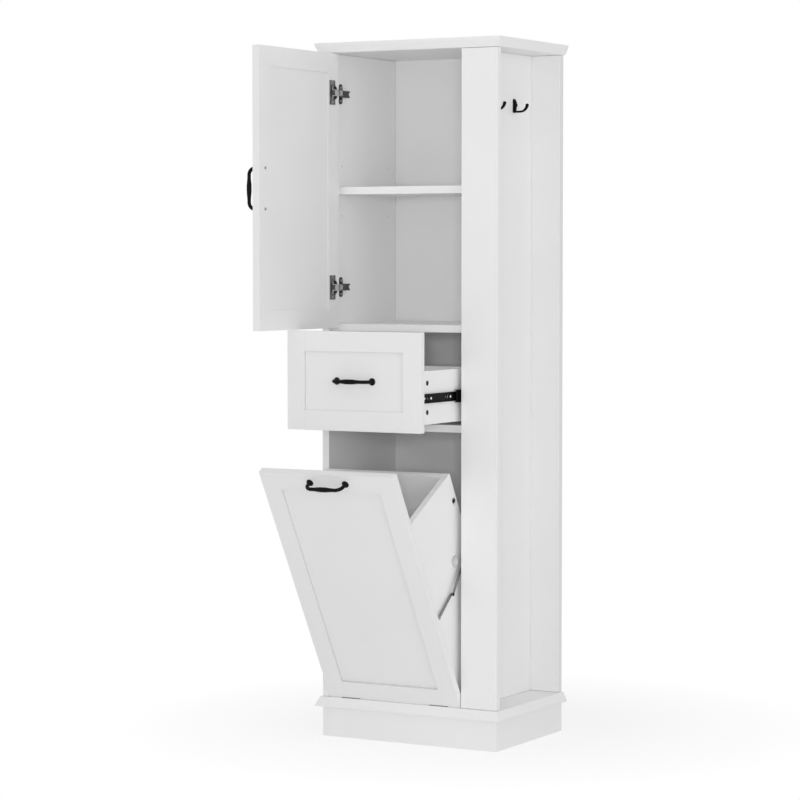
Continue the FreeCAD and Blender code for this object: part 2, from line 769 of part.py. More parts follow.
def hinge_links(z):
    """Make the two straps of one hinge, each with the pin that holds it in the cup."""
    body = solid("HingeLinks")
    half = link_width / 2
    knee = (front_left + link_knee_x, front + link_knee_y)
    end_x = inside_left + link_end_x
    corners = [(link_pin[0] - half, link_pin[1] - link_width), (link_pin[0] + link_width, link_pin[1]),
               (knee[0] + half, knee[1] + half), (end_x, knee[1] + half),
               (end_x, knee[1] - half), (knee[0] - half, knee[1] - half)]
    for low_z in (z + link_spread, z - link_spread - link_thickness):
        strap = outline(body, "XY_Plane", corners, low_z, {3: half * ROUND_END})
        pad(body, strap, link_thickness)
    reach = cup_radius - cup_wall - link_spread
    rod(body, "Additive", (link_pin[0], link_pin[1], z + link_spread), half, reach, "z")
    rod(body, "Additive", (link_pin[0], link_pin[1], z - link_spread - reach), half, reach, "z")
    return body


group("door_hinge_cups", [hinge_cup(z) for z in hinge_levels], door_rest)
group("door_hinge_links", [hinge_links(z) for z in hinge_levels], door_rest)


# Mounting plates and arms on the side panel
def hinge_plate(z):
    """Make a mounting plate with its two wings and its raised block."""
    body = solid("HingePlate")
    start = front + plate_front
    half_wing = plate_wing_length / 2
    half_block = arm_width / 2 - arm_wall
    block(body, "Additive", (inside_left, inside_left + plate_thickness), (start, start + plate_wing_width),
          (z - half_wing, z + half_wing))
    block(body, "Additive", (inside_left, inside_left + plate_thickness), (start, start + plate_block_end),
          (z - half_block, z + half_block))
    block(body, "Additive", (inside_left, inside_left + plate_thickness + arm_height - arm_wall),
          (start + pin_room, start + plate_block_end), (z - half_block, z + half_block))
    return body


def hinge_arm(z):
    """Make a channel shaped arm with its cranked neck that reaches into the cup."""
    body = solid("HingeArm")
    low_x = inside_left + plate_thickness
    high_x = low_x + arm_height
    start = front + arm_front
    end = front + arm_rear
    half = arm_width / 2
    block(body, "Additive", (low_x, high_x), (start, end), (z - half, z + half))
    hollow_z = (z - half + arm_wall, z + half - arm_wall)
    block(body, "Subtractive", (low_x, high_x - arm_wall), (start, end), hollow_z)
    neck_end = start + neck_overlap
    tip_y = front + neck_tip_y
    crank_y = front + neck_crank_y
    inner_x = inside_left + neck_inner_x
    outer_x = inside_left + neck_outer_x
    corners = [(low_x + arm_wall, neck_end), (low_x + arm_wall, start), (inner_x, crank_y), (inner_x, tip_y),
               (outer_x, tip_y), (outer_x, crank_y), (high_x, start + arm_wall), (high_x, neck_end)]
    neck = outline(body, "XY_Plane", corners, z - neck_width / 2)
    pad(body, neck, neck_width)
    rivet_x = axis_x + front + link_knee_y - axis_y
    rivet_y = axis_y + axis_x - inside_left - link_end_x
    rod(body, "Additive", (rivet_x, rivet_y, z - link_spread), neck_rivet, link_spread * 2, "z")
    for y in (front + arm_screw_front, front + arm_screw_back):
        rod(body, "Additive", (high_x, y, z), arm_screw_radius, arm_screw_height, "x")
    return body


group("hinge_plates", [hinge_plate(z) for z in hinge_levels], fixed_rest)
group("hinge_arms", [hinge_arm(z) for z in hinge_levels], fixed_rest)

# Drawer
drawer_low = drawer_floor_level - drawer_lap
drawer_high = drawer_low + drawer_height
drawer_handle_level = (drawer_low + drawer_high) / 2
side_left = inside_left + slide_space
side_right = inside_right - slide_space
box_low = drawer_floor_level + drawer_box_rise
box_high = box_low + drawer_box_height
box_back = front_back + drawer_box_length
box_bottom = box_low + drawer_bottom_rise


def drawer_bores(body, label):
    """Bore the handle screws of the drawer front."""
    if label == "panel":
        screw_holes(body, front_middle, panel_face, drawer_handle_level, False, panel_thickness)


framed_front("drawer", drawer_low, drawer_high, drawer_rest, STILE_NAMES, drawer_bores)
bow_handle("drawer_handle", front_middle, panel_face, drawer_handle_level, False, drawer_rest)
handle_screws("drawer_handle_screws", front_middle, panel_face, drawer_handle_level, False,
              panel_thickness, drawer_rest)

bottom_span = (box_bottom, box_bottom + drawer_bottom_thickness)
back_front = box_back - drawer_side


def box_side(label, outer, inner, way, spots, radius, depth, rest, y_pair, z_pair):
    """Make a box side with the pockets of its cam locks in the outer face."""
    body = solid(label)
    x_pair = (outer, inner) if way == "x" else (inner, outer)
    block(body, "Additive", x_pair, y_pair, z_pair)
    for y, z in spots:
        rod(body, "Subtractive", (outer, y, z), radius, depth, way)
    return body


cam_spots = [(front_back + cam_distance, z) for z in (box_high - cam_inset, box_low + cam_inset)]
for label, outer, inner, way, groove in (
        ("left_side", side_left, side_left + drawer_side, "x",
         (side_left + drawer_side - drawer_bottom_groove, side_left + drawer_side)),
        ("right_side", side_right, side_right - drawer_side, "-x",
         (side_right - drawer_side, side_right - drawer_side + drawer_bottom_groove))):
    body = box_side("drawer_" + label, outer, inner, way, cam_spots, cam_radius, cam_depth, drawer_rest,
                    (front_back, box_back), (box_low, box_high))
    block(body, "Subtractive", groove, (front_back, back_front + drawer_bottom_groove), bottom_span)
    keep(body, "drawer_" + label, drawer_rest)

drawer_inner = (side_left + drawer_side, side_right - drawer_side)
body = solid("drawer_back")
block(body, "Additive", drawer_inner, (back_front, box_back), (box_low, box_high))
block(body, "Subtractive", drawer_inner, (back_front, back_front + drawer_bottom_groove), bottom_span)
keep(body, "drawer_back", drawer_rest)
plain_board("drawer_bottom", (drawer_inner[0] - drawer_bottom_groove, drawer_inner[1] + drawer_bottom_groove),
            (front_back, back_front + drawer_bottom_groove), bottom_span, drawer_rest)


def cam_locks(label, faces, spots, radius, depth, rest):
    """Make the round connectors seated flush in the outer faces of a box."""
    locks = []
    for x, way in faces:
        for y, z in spots:
            lock = solid("CamLock")
            rod(lock, "Additive", (x, y, z), radius, depth, way)
            slot = radius / 6
            sunk = depth / 6
            span = (x, x + sunk) if way == "x" else (x - sunk, x)
            block(lock, "Subtractive", span, (y - slot, y + slot), (z - radius / 2, z + radius / 2))
            block(lock, "Subtractive", span, (y - radius / 2, y + radius / 2), (z - slot, z + slot))
            locks.append(lock)
    return group(label, locks, rest)


cam_locks("drawer_cam_locks", ((side_left, "x"), (side_right, "-x")), cam_spots, cam_radius,
          cam_depth, drawer_rest)

# Slides, each in three members
SIDES = ((inside_left, 1), (inside_right, -1))
slide_level = box_low + slide_rise


def sorted_pair(first, second):
    """Return two sizes with the smaller first."""
    return (first, second) if first.value < second.value else (second, first)


def channel(wall, side, near, far, height, y_pair, web_far):
    """Make a channel between two distances from a wall, with its web at the near or far end."""
    body = solid("Channel")
    half = height / 2
    ends = sorted_pair(wall + near * side, wall + far * side)
    block(body, "Additive", ends, y_pair, (slide_level - half, slide_level + half))
    hollow = (near, far - slide_sheet) if web_far else (near + slide_sheet, far)
    gap = sorted_pair(wall + hollow[0] * side, wall + hollow[1] * side)
    inner = (slide_level - half + slide_sheet, slide_level + half - slide_sheet)
    block(body, "Subtractive", gap, y_pair, inner)
    return body


def middle_member(wall, side):
    """Make a middle member: a web with flanges to both sides."""
    body = solid("MiddleMember")
    start = front + slide_start + drawer_box_length - middle_length
    y_pair = (start, start + middle_length)
    half = middle_height / 2
    lip = sorted_pair(wall + (middle_web - middle_lip) * side,
                      wall + (slide_space - middle_web + middle_lip) * side)
    block(body, "Additive", lip, y_pair, (slide_level - half, slide_level + half))
    web = sorted_pair(wall + middle_web * side, wall + (middle_web + slide_sheet) * side)
    inner = (slide_level - half + slide_sheet, slide_level + half - slide_sheet)
    for gap in (sorted_pair(lip[0], web[0]), sorted_pair(web[1], lip[1])):
        block(body, "Subtractive", gap, y_pair, inner)
    return body


outer_pair = (front + slide_start, front + slide_start + drawer_box_length)
inner_pair = (front + slide_start, front + slide_start + drawer_box_length - inner_setback)
outer_members = [channel(wall, side, zero, outer_width, outer_height, outer_pair, False) for wall, side in SIDES]
group("slide_outer_members", outer_members, fixed_rest)
group("slide_middle_members", [middle_member(wall, side) for wall, side in SIDES], middle_rest)
group("slide_inner_members",
      [channel(wall, side, slide_space - inner_width, slide_space, inner_height, inner_pair, True)
       for wall, side in SIDES], drawer_rest)

# Hamper
hamper_low = base_top + hamper_lap
hamper_high = drawer_floor_level - board + hamper_lap
hamper_handle_z = hamper_high - hamper_handle_drop
bin_top = hamper_high - hamper_box_drop
vent_z = bin_top - vent_drop
bin_left = front_left + hamper_side_space - front_gap
bin_right = front_right - hamper_side_space + front_gap
bin_low = base_top + hamper_box_rise
bin_back = front + hamper_box_back
stay_hamper_point = (front + stay_hamper_y, stay_hamper_z)


def hamper_bores(body, label):
    """Bore the handle screws of the hamper front."""
    if label == "top_rail":
        screw_holes(body, front_middle, front, hamper_handle_z, False, board)


framed_front("hamper", hamper_low, hamper_high, hamper_rest, STILE_NAMES, hamper_bores)
bow_handle("hamper_handle", front_middle, front, hamper_handle_z, False, hamper_rest)
handle_screws("hamper_handle_screws", front_middle, front, hamper_handle_z, False, board, hamper_rest)

hamper_spots = [(bin_back - hamper_cam_back, z) for z in (bin_top - hamper_cam_drop, bin_low + hamper_cam_rise)]
for label, outer, inner, way in (("left_side", bin_left, bin_left + hamper_board, "x"),
                                 ("right_side", bin_right, bin_right - hamper_board, "-x")):
    body = box_side("hamper_" + label, outer, inner, way, hamper_spots, hamper_cam_radius, cam_depth,
                    hamper_rest, (front_back, bin_back), (bin_low, bin_top))
    rod(body, "Subtractive", (outer, front + vent_y, vent_z), vent_radius, hamper_board, way)
    if label == "right_side":
        rod(body, "Subtractive", (outer,) + stay_hamper_point, stay_thread, stay_bite, way)
    keep(body, "hamper_" + label, hamper_rest)

bin_inner = (bin_left + hamper_board, bin_right - hamper_board)
bin_back_front = bin_back - hamper_board
plain_board("hamper_back", bin_inner, (bin_back_front, bin_back), (bin_low, bin_top), hamper_rest)
plain_board("hamper_bottom", bin_inner, (front_back, bin_back_front),
            (bin_low, bin_low + hamper_bottom_thickness), hamper_rest)
cam_locks("hamper_cam_locks", ((bin_left, "x"), (bin_right, "-x")), hamper_spots, hamper_cam_radius,
          cam_depth, hamper_rest)

# Butt hinges under the hamper front
KNUCKLES = 5


def butt_leaf_body(start, fixed):
    """Make one leaf with its knuckles. The fixed leaf also carries the pin."""
    body = solid("ButtLeaf")
    step = butt_length / KNUCKLES
    leaf_y = (hinge_y + butt_start, hinge_y + butt_reach)
    leaf_z = (base_top, base_top + butt_leaf) if fixed else (hamper_low - butt_leaf, hamper_low)
    block(body, "Additive", (start, start + butt_length), leaf_y, leaf_z)
    for number in range(0 if fixed else 1, KNUCKLES, 2):
        low_x = start + step * number
        length = step
        if not fixed:
            low_x = low_x + butt_room
            length = step - butt_room * 2
        rod(body, "Additive", (low_x, hinge_y, hinge_z), butt_barrel, length, "x")
        web_z = (leaf_z[0], hinge_z) if fixed else (hinge_z, leaf_z[1])
        block(body, "Additive", (low_x, low_x + length), (hinge_y + butt_pin + butt_room, leaf_y[0]), web_z)
    if fixed:
        rod(body, "Additive", (start, hinge_y, hinge_z), butt_pin, butt_length, "x")
    else:
        rod(body, "Subtractive", (start, hinge_y, hinge_z), butt_pin + butt_room, butt_length, "x")
    return body


leaf_starts = [front_left + butt_inset, front_right - butt_inset - butt_length]
group("hamper_hinge_fixed_leaves", [butt_leaf_body(start, True) for start in leaf_starts], fixed_rest)
group("hamper_hinge_moving_leaves", [butt_leaf_body(start, False) for start in leaf_starts], hamper_rest)


# Stay between the right side panel and the hamper
def shoulder_screw(label, x, point, way, collar, rest):
    """Make a screw with a collar against the wall, a journal for the link and a head."""
    body = solid(label)
    sign = 1 if way == "x" else -1
    journal = stay_thickness + stay_room * 2
    opposite = "-x" if way == "x" else "x"
    rod(body, "Additive", (x, point[0], point[1]), stay_thread, stay_bite, opposite)
    rod(body, "Additive", (x, point[0], point[1]), stay_collar, collar, way)
    rod(body, "Additive", (x + collar * sign, point[0], point[1]), stay_journal, journal, way)
    rod(body, "Additive", (x + (collar + journal) * sign, point[0], point[1]), stay_head, stay_head_height, way)
    return keep(body, label, rest)


stay_wall = bin_right
cabinet_pivot = (front + stay_cabinet_y, stay_cabinet_z)
shoulder_screw("stay_cabinet_screw", inside_right, cabinet_pivot, "-x", stay_upper_wall - stay_room, fixed_rest)
shoulder_screw("stay_hamper_screw", stay_wall, stay_hamper_point, "x", stay_lower_wall - stay_room, hamper_rest)

knee = FreeCAD.Vector(0, (front - stay_knee_y).value, stay_knee_z.value)


def stay_link(label, low_x, pivot, rivet_out):
    """Make a flat link from a pivot to the knee, with a rivet at the knee."""
    body = solid(label)
    reach = knee - pivot
    length = Size(repr(reach.Length), reach.Length)
    flat = outline(body, "XY_Plane",
                   [(zero, -stay_half_width), (length, -stay_half_width), (length, stay_half_width),
                    (zero, stay_half_width)],
                   zero, {1: stay_half_width * ROUND_END, 3: stay_half_width * ROUND_END})
    pad(body, flat, stay_thickness)
    rod(body, "Subtractive", (zero, zero, zero), stay_journal + stay_room, stay_thickness, "z")
    start = stay_thickness if rivet_out else -stay_rivet_height
    rod(body, "Additive", (length, zero, start), stay_rivet, stay_rivet_height, "z")
    along = FreeCAD.Vector(reach).normalize()
    frame = FreeCAD.Rotation(along, FreeCAD.Vector(1, 0, 0).cross(along), FreeCAD.Vector(1, 0, 0), "ZXY")
    return keep(body, label, FreeCAD.Placement(FreeCAD.Vector(low_x.value, pivot.y, pivot.z), frame))


upper_pivot = FreeCAD.Vector(0, cabinet_pivot[0].value, cabinet_pivot[1].value)
lower_pivot = hamper_rest.multVec(FreeCAD.Vector(0, stay_hamper_point[0].value, stay_hamper_point[1].value))
upper_pivot.x = 0
lower_pivot.x = 0
stay_link("stay_upper_link", inside_right - stay_upper_wall - stay_thickness, upper_pivot, False)
stay_link("stay_lower_link", stay_wall + stay_lower_wall, lower_pivot, True)

# Checks and files
doc.recompute()
for item in doc.Objects:
    if "Invalid" in item.State or "Error" in item.State:
        raise RuntimeError(f"{item.Label} is not built: {item.State}")
os.makedirs("parts", exist_ok=True)
for item in nodes:
    if item.Shape.isNull() or not item.Shape.isValid():
        raise RuntimeError(f"{item.Label} has no valid shape")
    item.Shape.exportStep(f"parts/{item.Label}.step")
print(len(nodes), "pieces written")
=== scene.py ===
"""Looks of the storage cabinet: its white paint, black handles and hooks, hinges, slides and the studio."""

import json
import logging
import math
from collections.abc import Callable, Sequence
from dataclasses import dataclass, field
from enum import Enum

import bpy
from bpy.types import Material, Mesh, Node, NodeTree, Object
from mathutils import Matrix, Vector

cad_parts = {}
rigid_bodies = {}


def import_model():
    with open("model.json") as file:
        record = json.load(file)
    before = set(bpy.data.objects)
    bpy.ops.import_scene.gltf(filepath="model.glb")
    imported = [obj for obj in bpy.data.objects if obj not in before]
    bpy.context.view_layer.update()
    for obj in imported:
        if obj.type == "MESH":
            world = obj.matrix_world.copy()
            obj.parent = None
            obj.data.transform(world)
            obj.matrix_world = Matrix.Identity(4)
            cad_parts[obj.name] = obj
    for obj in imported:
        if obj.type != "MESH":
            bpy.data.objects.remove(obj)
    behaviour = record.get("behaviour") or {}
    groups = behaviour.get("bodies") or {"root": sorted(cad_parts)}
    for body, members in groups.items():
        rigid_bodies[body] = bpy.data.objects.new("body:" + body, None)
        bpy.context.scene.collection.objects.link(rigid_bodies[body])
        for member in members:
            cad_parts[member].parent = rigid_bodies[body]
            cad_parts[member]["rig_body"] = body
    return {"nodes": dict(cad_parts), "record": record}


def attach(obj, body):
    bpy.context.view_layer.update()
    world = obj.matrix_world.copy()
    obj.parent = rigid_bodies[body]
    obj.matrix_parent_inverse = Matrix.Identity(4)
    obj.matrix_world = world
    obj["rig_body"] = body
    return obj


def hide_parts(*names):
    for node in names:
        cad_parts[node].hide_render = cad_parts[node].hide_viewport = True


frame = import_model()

logging.basicConfig(level=logging.INFO, format="%(message)s")
LOG = logging.getLogger("cabinet")

MM = 0.001
MERGE = 1e-6
NEAR = 1e-5
FACING = 0.9
FLAT_ANGLE, EASE_ANGLE, SHADE_ANGLE = 0.6, 40.0, 50.0
UP, DOWN = Vector((0, 0, 1)), Vector((0, 0, -1))
FRONT, REAR = Vector((0, -1, 0)), Vector((0, 1, 0))
LEFT, RIGHT = Vector((-1, 0, 0)), Vector((1, 0, 0))


# The cabinet's own measures, in millimetres


CORNER = Vector((-241, -343, 0))


def spot(x: float, y: float, z: float) -> Vector:
    """Return a place in the frame from millimetres measured at the body's front left corner."""
    return (Vector((x, y, z)) + CORNER) * MM


@dataclass(frozen=True)
class Opening:
    """How far a front is open in the rest pose, as a turn about an axis or a shift."""

    pivot: tuple = (0.0, 0.0, 0.0)
    axis: str = "Z"
    degrees: float = 0.0
    shift: float = 0.0

    def turn(self) -> Matrix:
        """Return the move from the closed place to the rest pose."""
        centre, rotation = spot(*self.pivot), Matrix.Rotation(math.radians(self.degrees), 4, self.axis)
        return Matrix.Translation(centre + REAR * self.shift * MM) @ rotation @ Matrix.Translation(-centre)


class Part(Enum):
    """The moving bodies, each with its opening in the rest pose."""

    CABINET = Opening()
    DOOR = Opening((26.95, 4.85, 0.0), "Z", -90.0)
    DRAWER = Opening(shift=-196.0)
    HAMPER = Opening((0.0, 3.0, 100.0), "X", 29.5)

    def body(self) -> str:
        """Return the body's name in the frame."""
        return self.name.lower()

    def at(self, x: float, y: float, z: float, way: Matrix | None = None) -> Matrix:
        """Return the place of a piece on this part, given where it lies when the part is closed.

        Args:
            x: Millimetres to the right of the body's left side.
            y: Millimetres behind the body's front.
            z: Millimetres above the floor.
            way: The turn that the piece has first.

        Returns:
            The piece's matrix in the rest pose.
        """
        return self.value.turn() @ Matrix.Translation(spot(x, y, z)) @ (way or Matrix())


RIGHTWARD = Matrix.Rotation(math.pi / 2, 4, "Y")
LEFTWARD = Matrix.Rotation(-math.pi / 2, 4, "Y")
FORWARD = Matrix.Rotation(math.pi / 2, 4, "X")
BACKWARD = Matrix.Rotation(-math.pi / 2, 4, "X")
RECESS_SIDES = {"left_stile": RIGHT, "right_stile": LEFT, "bottom_rail": UP, "top_rail": DOWN}
HINGE_LEVELS = (1106.0, 1579.0)
HANDLE_SPACING = 96.0
LONG_SHANK, SHORT_SHANK = 25.9, 13.9


@dataclass(frozen=True)
class HandlePlace:
    """Where a bow handle sits on a closed front, and where its screws come through from behind."""

    part: Part
    x: float
    face: float
    z: float
    back: float
    shank: float
    upright: bool = False

    def handle(self) -> Matrix:
        """Return the place of the handle."""
        return self.part.at(self.x, self.face, self.z, RIGHTWARD if self.upright else None)

    def screws(self) -> list[Matrix]:
        """Return the places of the two screws, one behind each foot."""
        run = (UP if self.upright else RIGHT) * HANDLE_SPACING / 2
        return [self.part.at(*(Vector((self.x, self.back, self.z)) + run * side), BACKWARD)
                for side in (-1, 1)]


HANDLES = (
    HandlePlace(Part.DOOR, 357.5, 0.0, 1340.5, 18.0, LONG_SHANK, upright=True),
    HandlePlace(Part.DRAWER, 202.0, 6.0, 887.0, 12.0, SHORT_SHANK),
    HandlePlace(Part.HAMPER, 202.0, 0.0, 738.5, 18.0, LONG_SHANK),
)


# Node groups and finishes


class NodeSheet:
    """A small helper that adds, sets and links the nodes of one tree."""

    def __init__(self, tree: NodeTree) -> None:
        """Keep the tree."""
        self.tree = tree

    @staticmethod
    def set(node: Node, **values: object) -> Node:
        """Set a node's properties and input values.

        Args:
            node: The node.
            values: Property names, or input names with spaces written as underscores.

        Returns:
            The same node.
        """
        for name, value in values.items():
            if hasattr(node, name):
                setattr(node, name, value)
            else:
                node.inputs[name.replace("_", " ")].default_value = value
        return node

    def add(self, kind: str, **values: object) -> Node:
        """Add a node of a kind with its values and return it."""
        return self.set(self.tree.nodes.new(kind), **values)

    def wire(self, *links: tuple) -> None:
        """Link nodes.

        Args:
            links: Source, output, target and input of each link. Sockets go by name or number.
        """
        for source, output, target, name in links:
            self.tree.links.new(source.outputs[output], target.inputs[name])


def noise_group(name: str, *layers: tuple) -> NodeTree:
    """Build a node group of noise layers, each with an input for its scale and an output.

    Args:
        name: The group's name.
        layers: The name, usual scale, detail, roughness and stretch of each layer.

    Returns:
        The node group.
    """
    tree = bpy.data.node_groups.new(name, "ShaderNodeTree")
    tree.interface.new_socket("Vector", in_out="INPUT", socket_type="NodeSocketVector")
    for label, scale, *_ in layers:
        socket = tree.interface.new_socket(f"{label} Scale", in_out="INPUT", socket_type="NodeSocketFloat")
        socket.default_value = scale
        tree.interface.new_socket(label, in_out="OUTPUT", socket_type="NodeSocketFloat")
    sheet = NodeSheet(tree)
    source, result = sheet.add("NodeGroupInput"), sheet.add("NodeGroupOutput")
    for label, _, detail, roughness, stretch in layers:
        place = sheet.add("ShaderNodeMapping", Scale=stretch)
        noise = sheet.add("ShaderNodeTexNoise", Detail=detail, Roughness=roughness)
        sheet.wire((source, "Vector", place, "Vector"), (place, "Vector", noise, "Vector"),
                   (source, f"{label} Scale", noise, "Scale"), (noise, "Fac", result, label))
    return tree


EVEN, DRAWN_OUT = (1.0, 1.0, 1.0), (1.0, 0.06, 1.0)
SPRAYED = noise_group("SprayedSurface", ("Peel", 700.0, 4.0, 0.55, EVEN), ("Cloud", 6.0, 3.0, 0.6, EVEN))
DRAWN = noise_group("DrawnMetal", ("Streak", 90.0, 5.0, 0.7, DRAWN_OUT), ("Tooth", 1600.0, 2.0, 0.5, EVEN))
MASK_LOW, MASK_HIGH = 0.3, 0.7


def open_material(name: str) -> tuple[Material, NodeSheet, Node]:
    """Start a material.

    Args:
        name: The material's name.

    Returns:
        The material, its sheet and its Principled shader.
    """
    material = bpy.data.materials.new(name)
    material.use_nodes = True
    return material, NodeSheet(material.node_tree), material.node_tree.nodes["Principled BSDF"]


@dataclass(frozen=True)
class Finish:
    """What every finish has: two close greys and a range of roughness that a mask spreads."""

    name: str
    dark: float
    light: float
    rough_low: float
    rough_high: float
    relief_strength: float = 0.25
    relief_depth: float = 0.00006

    def dress(self, group: NodeTree, mask: str, relief: str, scales: dict[str, float],
              **shader_values: float) -> Material:
        """Build the material on one of the node groups.

        Args:
            group: The node group.
            mask: Its output that spreads the colour and the roughness.
            relief: Its output that raises the surface.
            scales: Values of the group's inputs.
            shader_values: Values that are the same all over.

        Returns:
            The material.
        """
        material, sheet, shader = open_material(self.name)
        place = sheet.add("ShaderNodeTexCoord")
        surface = sheet.add("ShaderNodeGroup", node_tree=group, **scales)
        colour = sheet.add("ShaderNodeValToRGB")
        stops = ((MASK_LOW, self.dark), (MASK_HIGH, self.light))
        for element, (position, value) in zip(colour.color_ramp.elements, stops):
            element.position = position
            element.color = (value, value, value, 1.0)
        rough = sheet.add("ShaderNodeMapRange", From_Min=MASK_LOW, From_Max=MASK_HIGH,
                          To_Min=self.rough_low, To_Max=self.rough_high)
        bump = sheet.add("ShaderNodeBump", Strength=self.relief_strength, Distance=self.relief_depth)
        sheet.wire((place, "Object", surface, "Vector"), (surface, mask, colour, "Fac"),
                   (surface, mask, rough, "Value"), (surface, relief, bump, "Height"),
                   (colour, "Color", shader, "Base Color"), (rough, "Result", shader, "Roughness"),
                   (bump, "Normal", shader, "Normal"))
        sheet.set(shader, **shader_values)
        return material


@dataclass(frozen=True)
class PaintedFinish(Finish):
    """Sprayed and cured paint, on board or on metal."""

    peel_scale: float = 700.0
    cloud_scale: float = 6.0
    specular: float = 0.5
    coat: float = 0.0

    def build(self) -> Material:
        """Build the material."""
        scales = {"Peel_Scale": self.peel_scale, "Cloud_Scale": self.cloud_scale}
        return self.dress(SPRAYED, "Cloud", "Peel", scales, Specular_IOR_Level=self.specular,
                          Coat_Weight=self.coat)


@dataclass(frozen=True)
class PlatedFinish(Finish):
    """Plated or bare metal with drawn streaks."""

    relief_strength: float = 0.2
    relief_depth: float = 0.00003
    metallic: float = 1.0

    def build(self) -> Material:
        """Build the material."""
        return self.dress(DRAWN, "Streak", "Tooth", {}, Metallic=self.metallic)


FINISHES = {
    "white_front": PaintedFinish("WhiteFrontPaint", 0.885, 0.905, 0.36, 0.44, coat=0.05),
    "white_board": PaintedFinish("WhiteBoardPaint", 0.905, 0.925, 0.4, 0.5, cloud_scale=4.0),
    # Painted shade: a darker white for the recess walls of the framed fronts, in place of the shadow in those
    # corners.
    "white_recess_painted_shade": PaintedFinish("WhiteRecessPaint", 0.69, 0.71, 0.45, 0.55),
    # Painted shade: a darker white for the niche's rear stile, in place of the shade inside the niche.
    "white_niche": PaintedFinish("WhiteNichePaint", 0.82, 0.84, 0.4, 0.5, cloud_scale=4.0),
    "white_backing": PaintedFinish("WhiteBacking", 0.89, 0.91, 0.5, 0.6, peel_scale=420.0),
    "black_metal": PaintedFinish("BlackSatinCoat", 0.002, 0.005, 0.36, 0.46, peel_scale=1500.0,
                                 relief_depth=0.00004, specular=0.1),
    "dark_hardware": PaintedFinish("BlackZinc", 0.003, 0.006, 0.38, 0.5, peel_scale=1800.0,
                                   relief_depth=0.00004, specular=0.07),
    "stay_metal": PlatedFinish("StayZinc", 0.22, 0.3, 0.4, 0.5),
    "nickel_hinge": PlatedFinish("NickelPlate", 0.1, 0.14, 0.35, 0.5),
    "hinge_cup": PlatedFinish("CupNickel", 0.24, 0.3, 0.35, 0.5),
    # Painted reflection: a light, nearly matt grey for the fronts of the hinge arms and the necks, in place
    # of how their nickel shines.
    "hinge_arm": PlatedFinish("ArmNickel", 0.4, 0.47, 0.38, 0.5, metallic=0.15),
    "screw_steel": PlatedFinish("ZincScrew", 0.34, 0.42, 0.35, 0.48),
    "bright_screw": PlatedFinish("BrightScrew", 0.72, 0.82, 0.2, 0.3),
    "cam_plastic": PaintedFinish("DarkCam", 0.015, 0.025, 0.45, 0.6, peel_scale=900.0, specular=0.25),
}
MATERIALS = {slot: finish.build() for slot, finish in FINISHES.items()}


# Modelling by hand


FaceOrEdgeTest = Callable[[Vector, Vector], bool]


def clear_bench() -> None:
    """Leave edit mode and deselect everything."""
    if bpy.context.object and bpy.context.object.mode != "OBJECT":
        bpy.ops.object.mode_set(mode="OBJECT")
    bpy.ops.object.select_all(action="DESELECT")


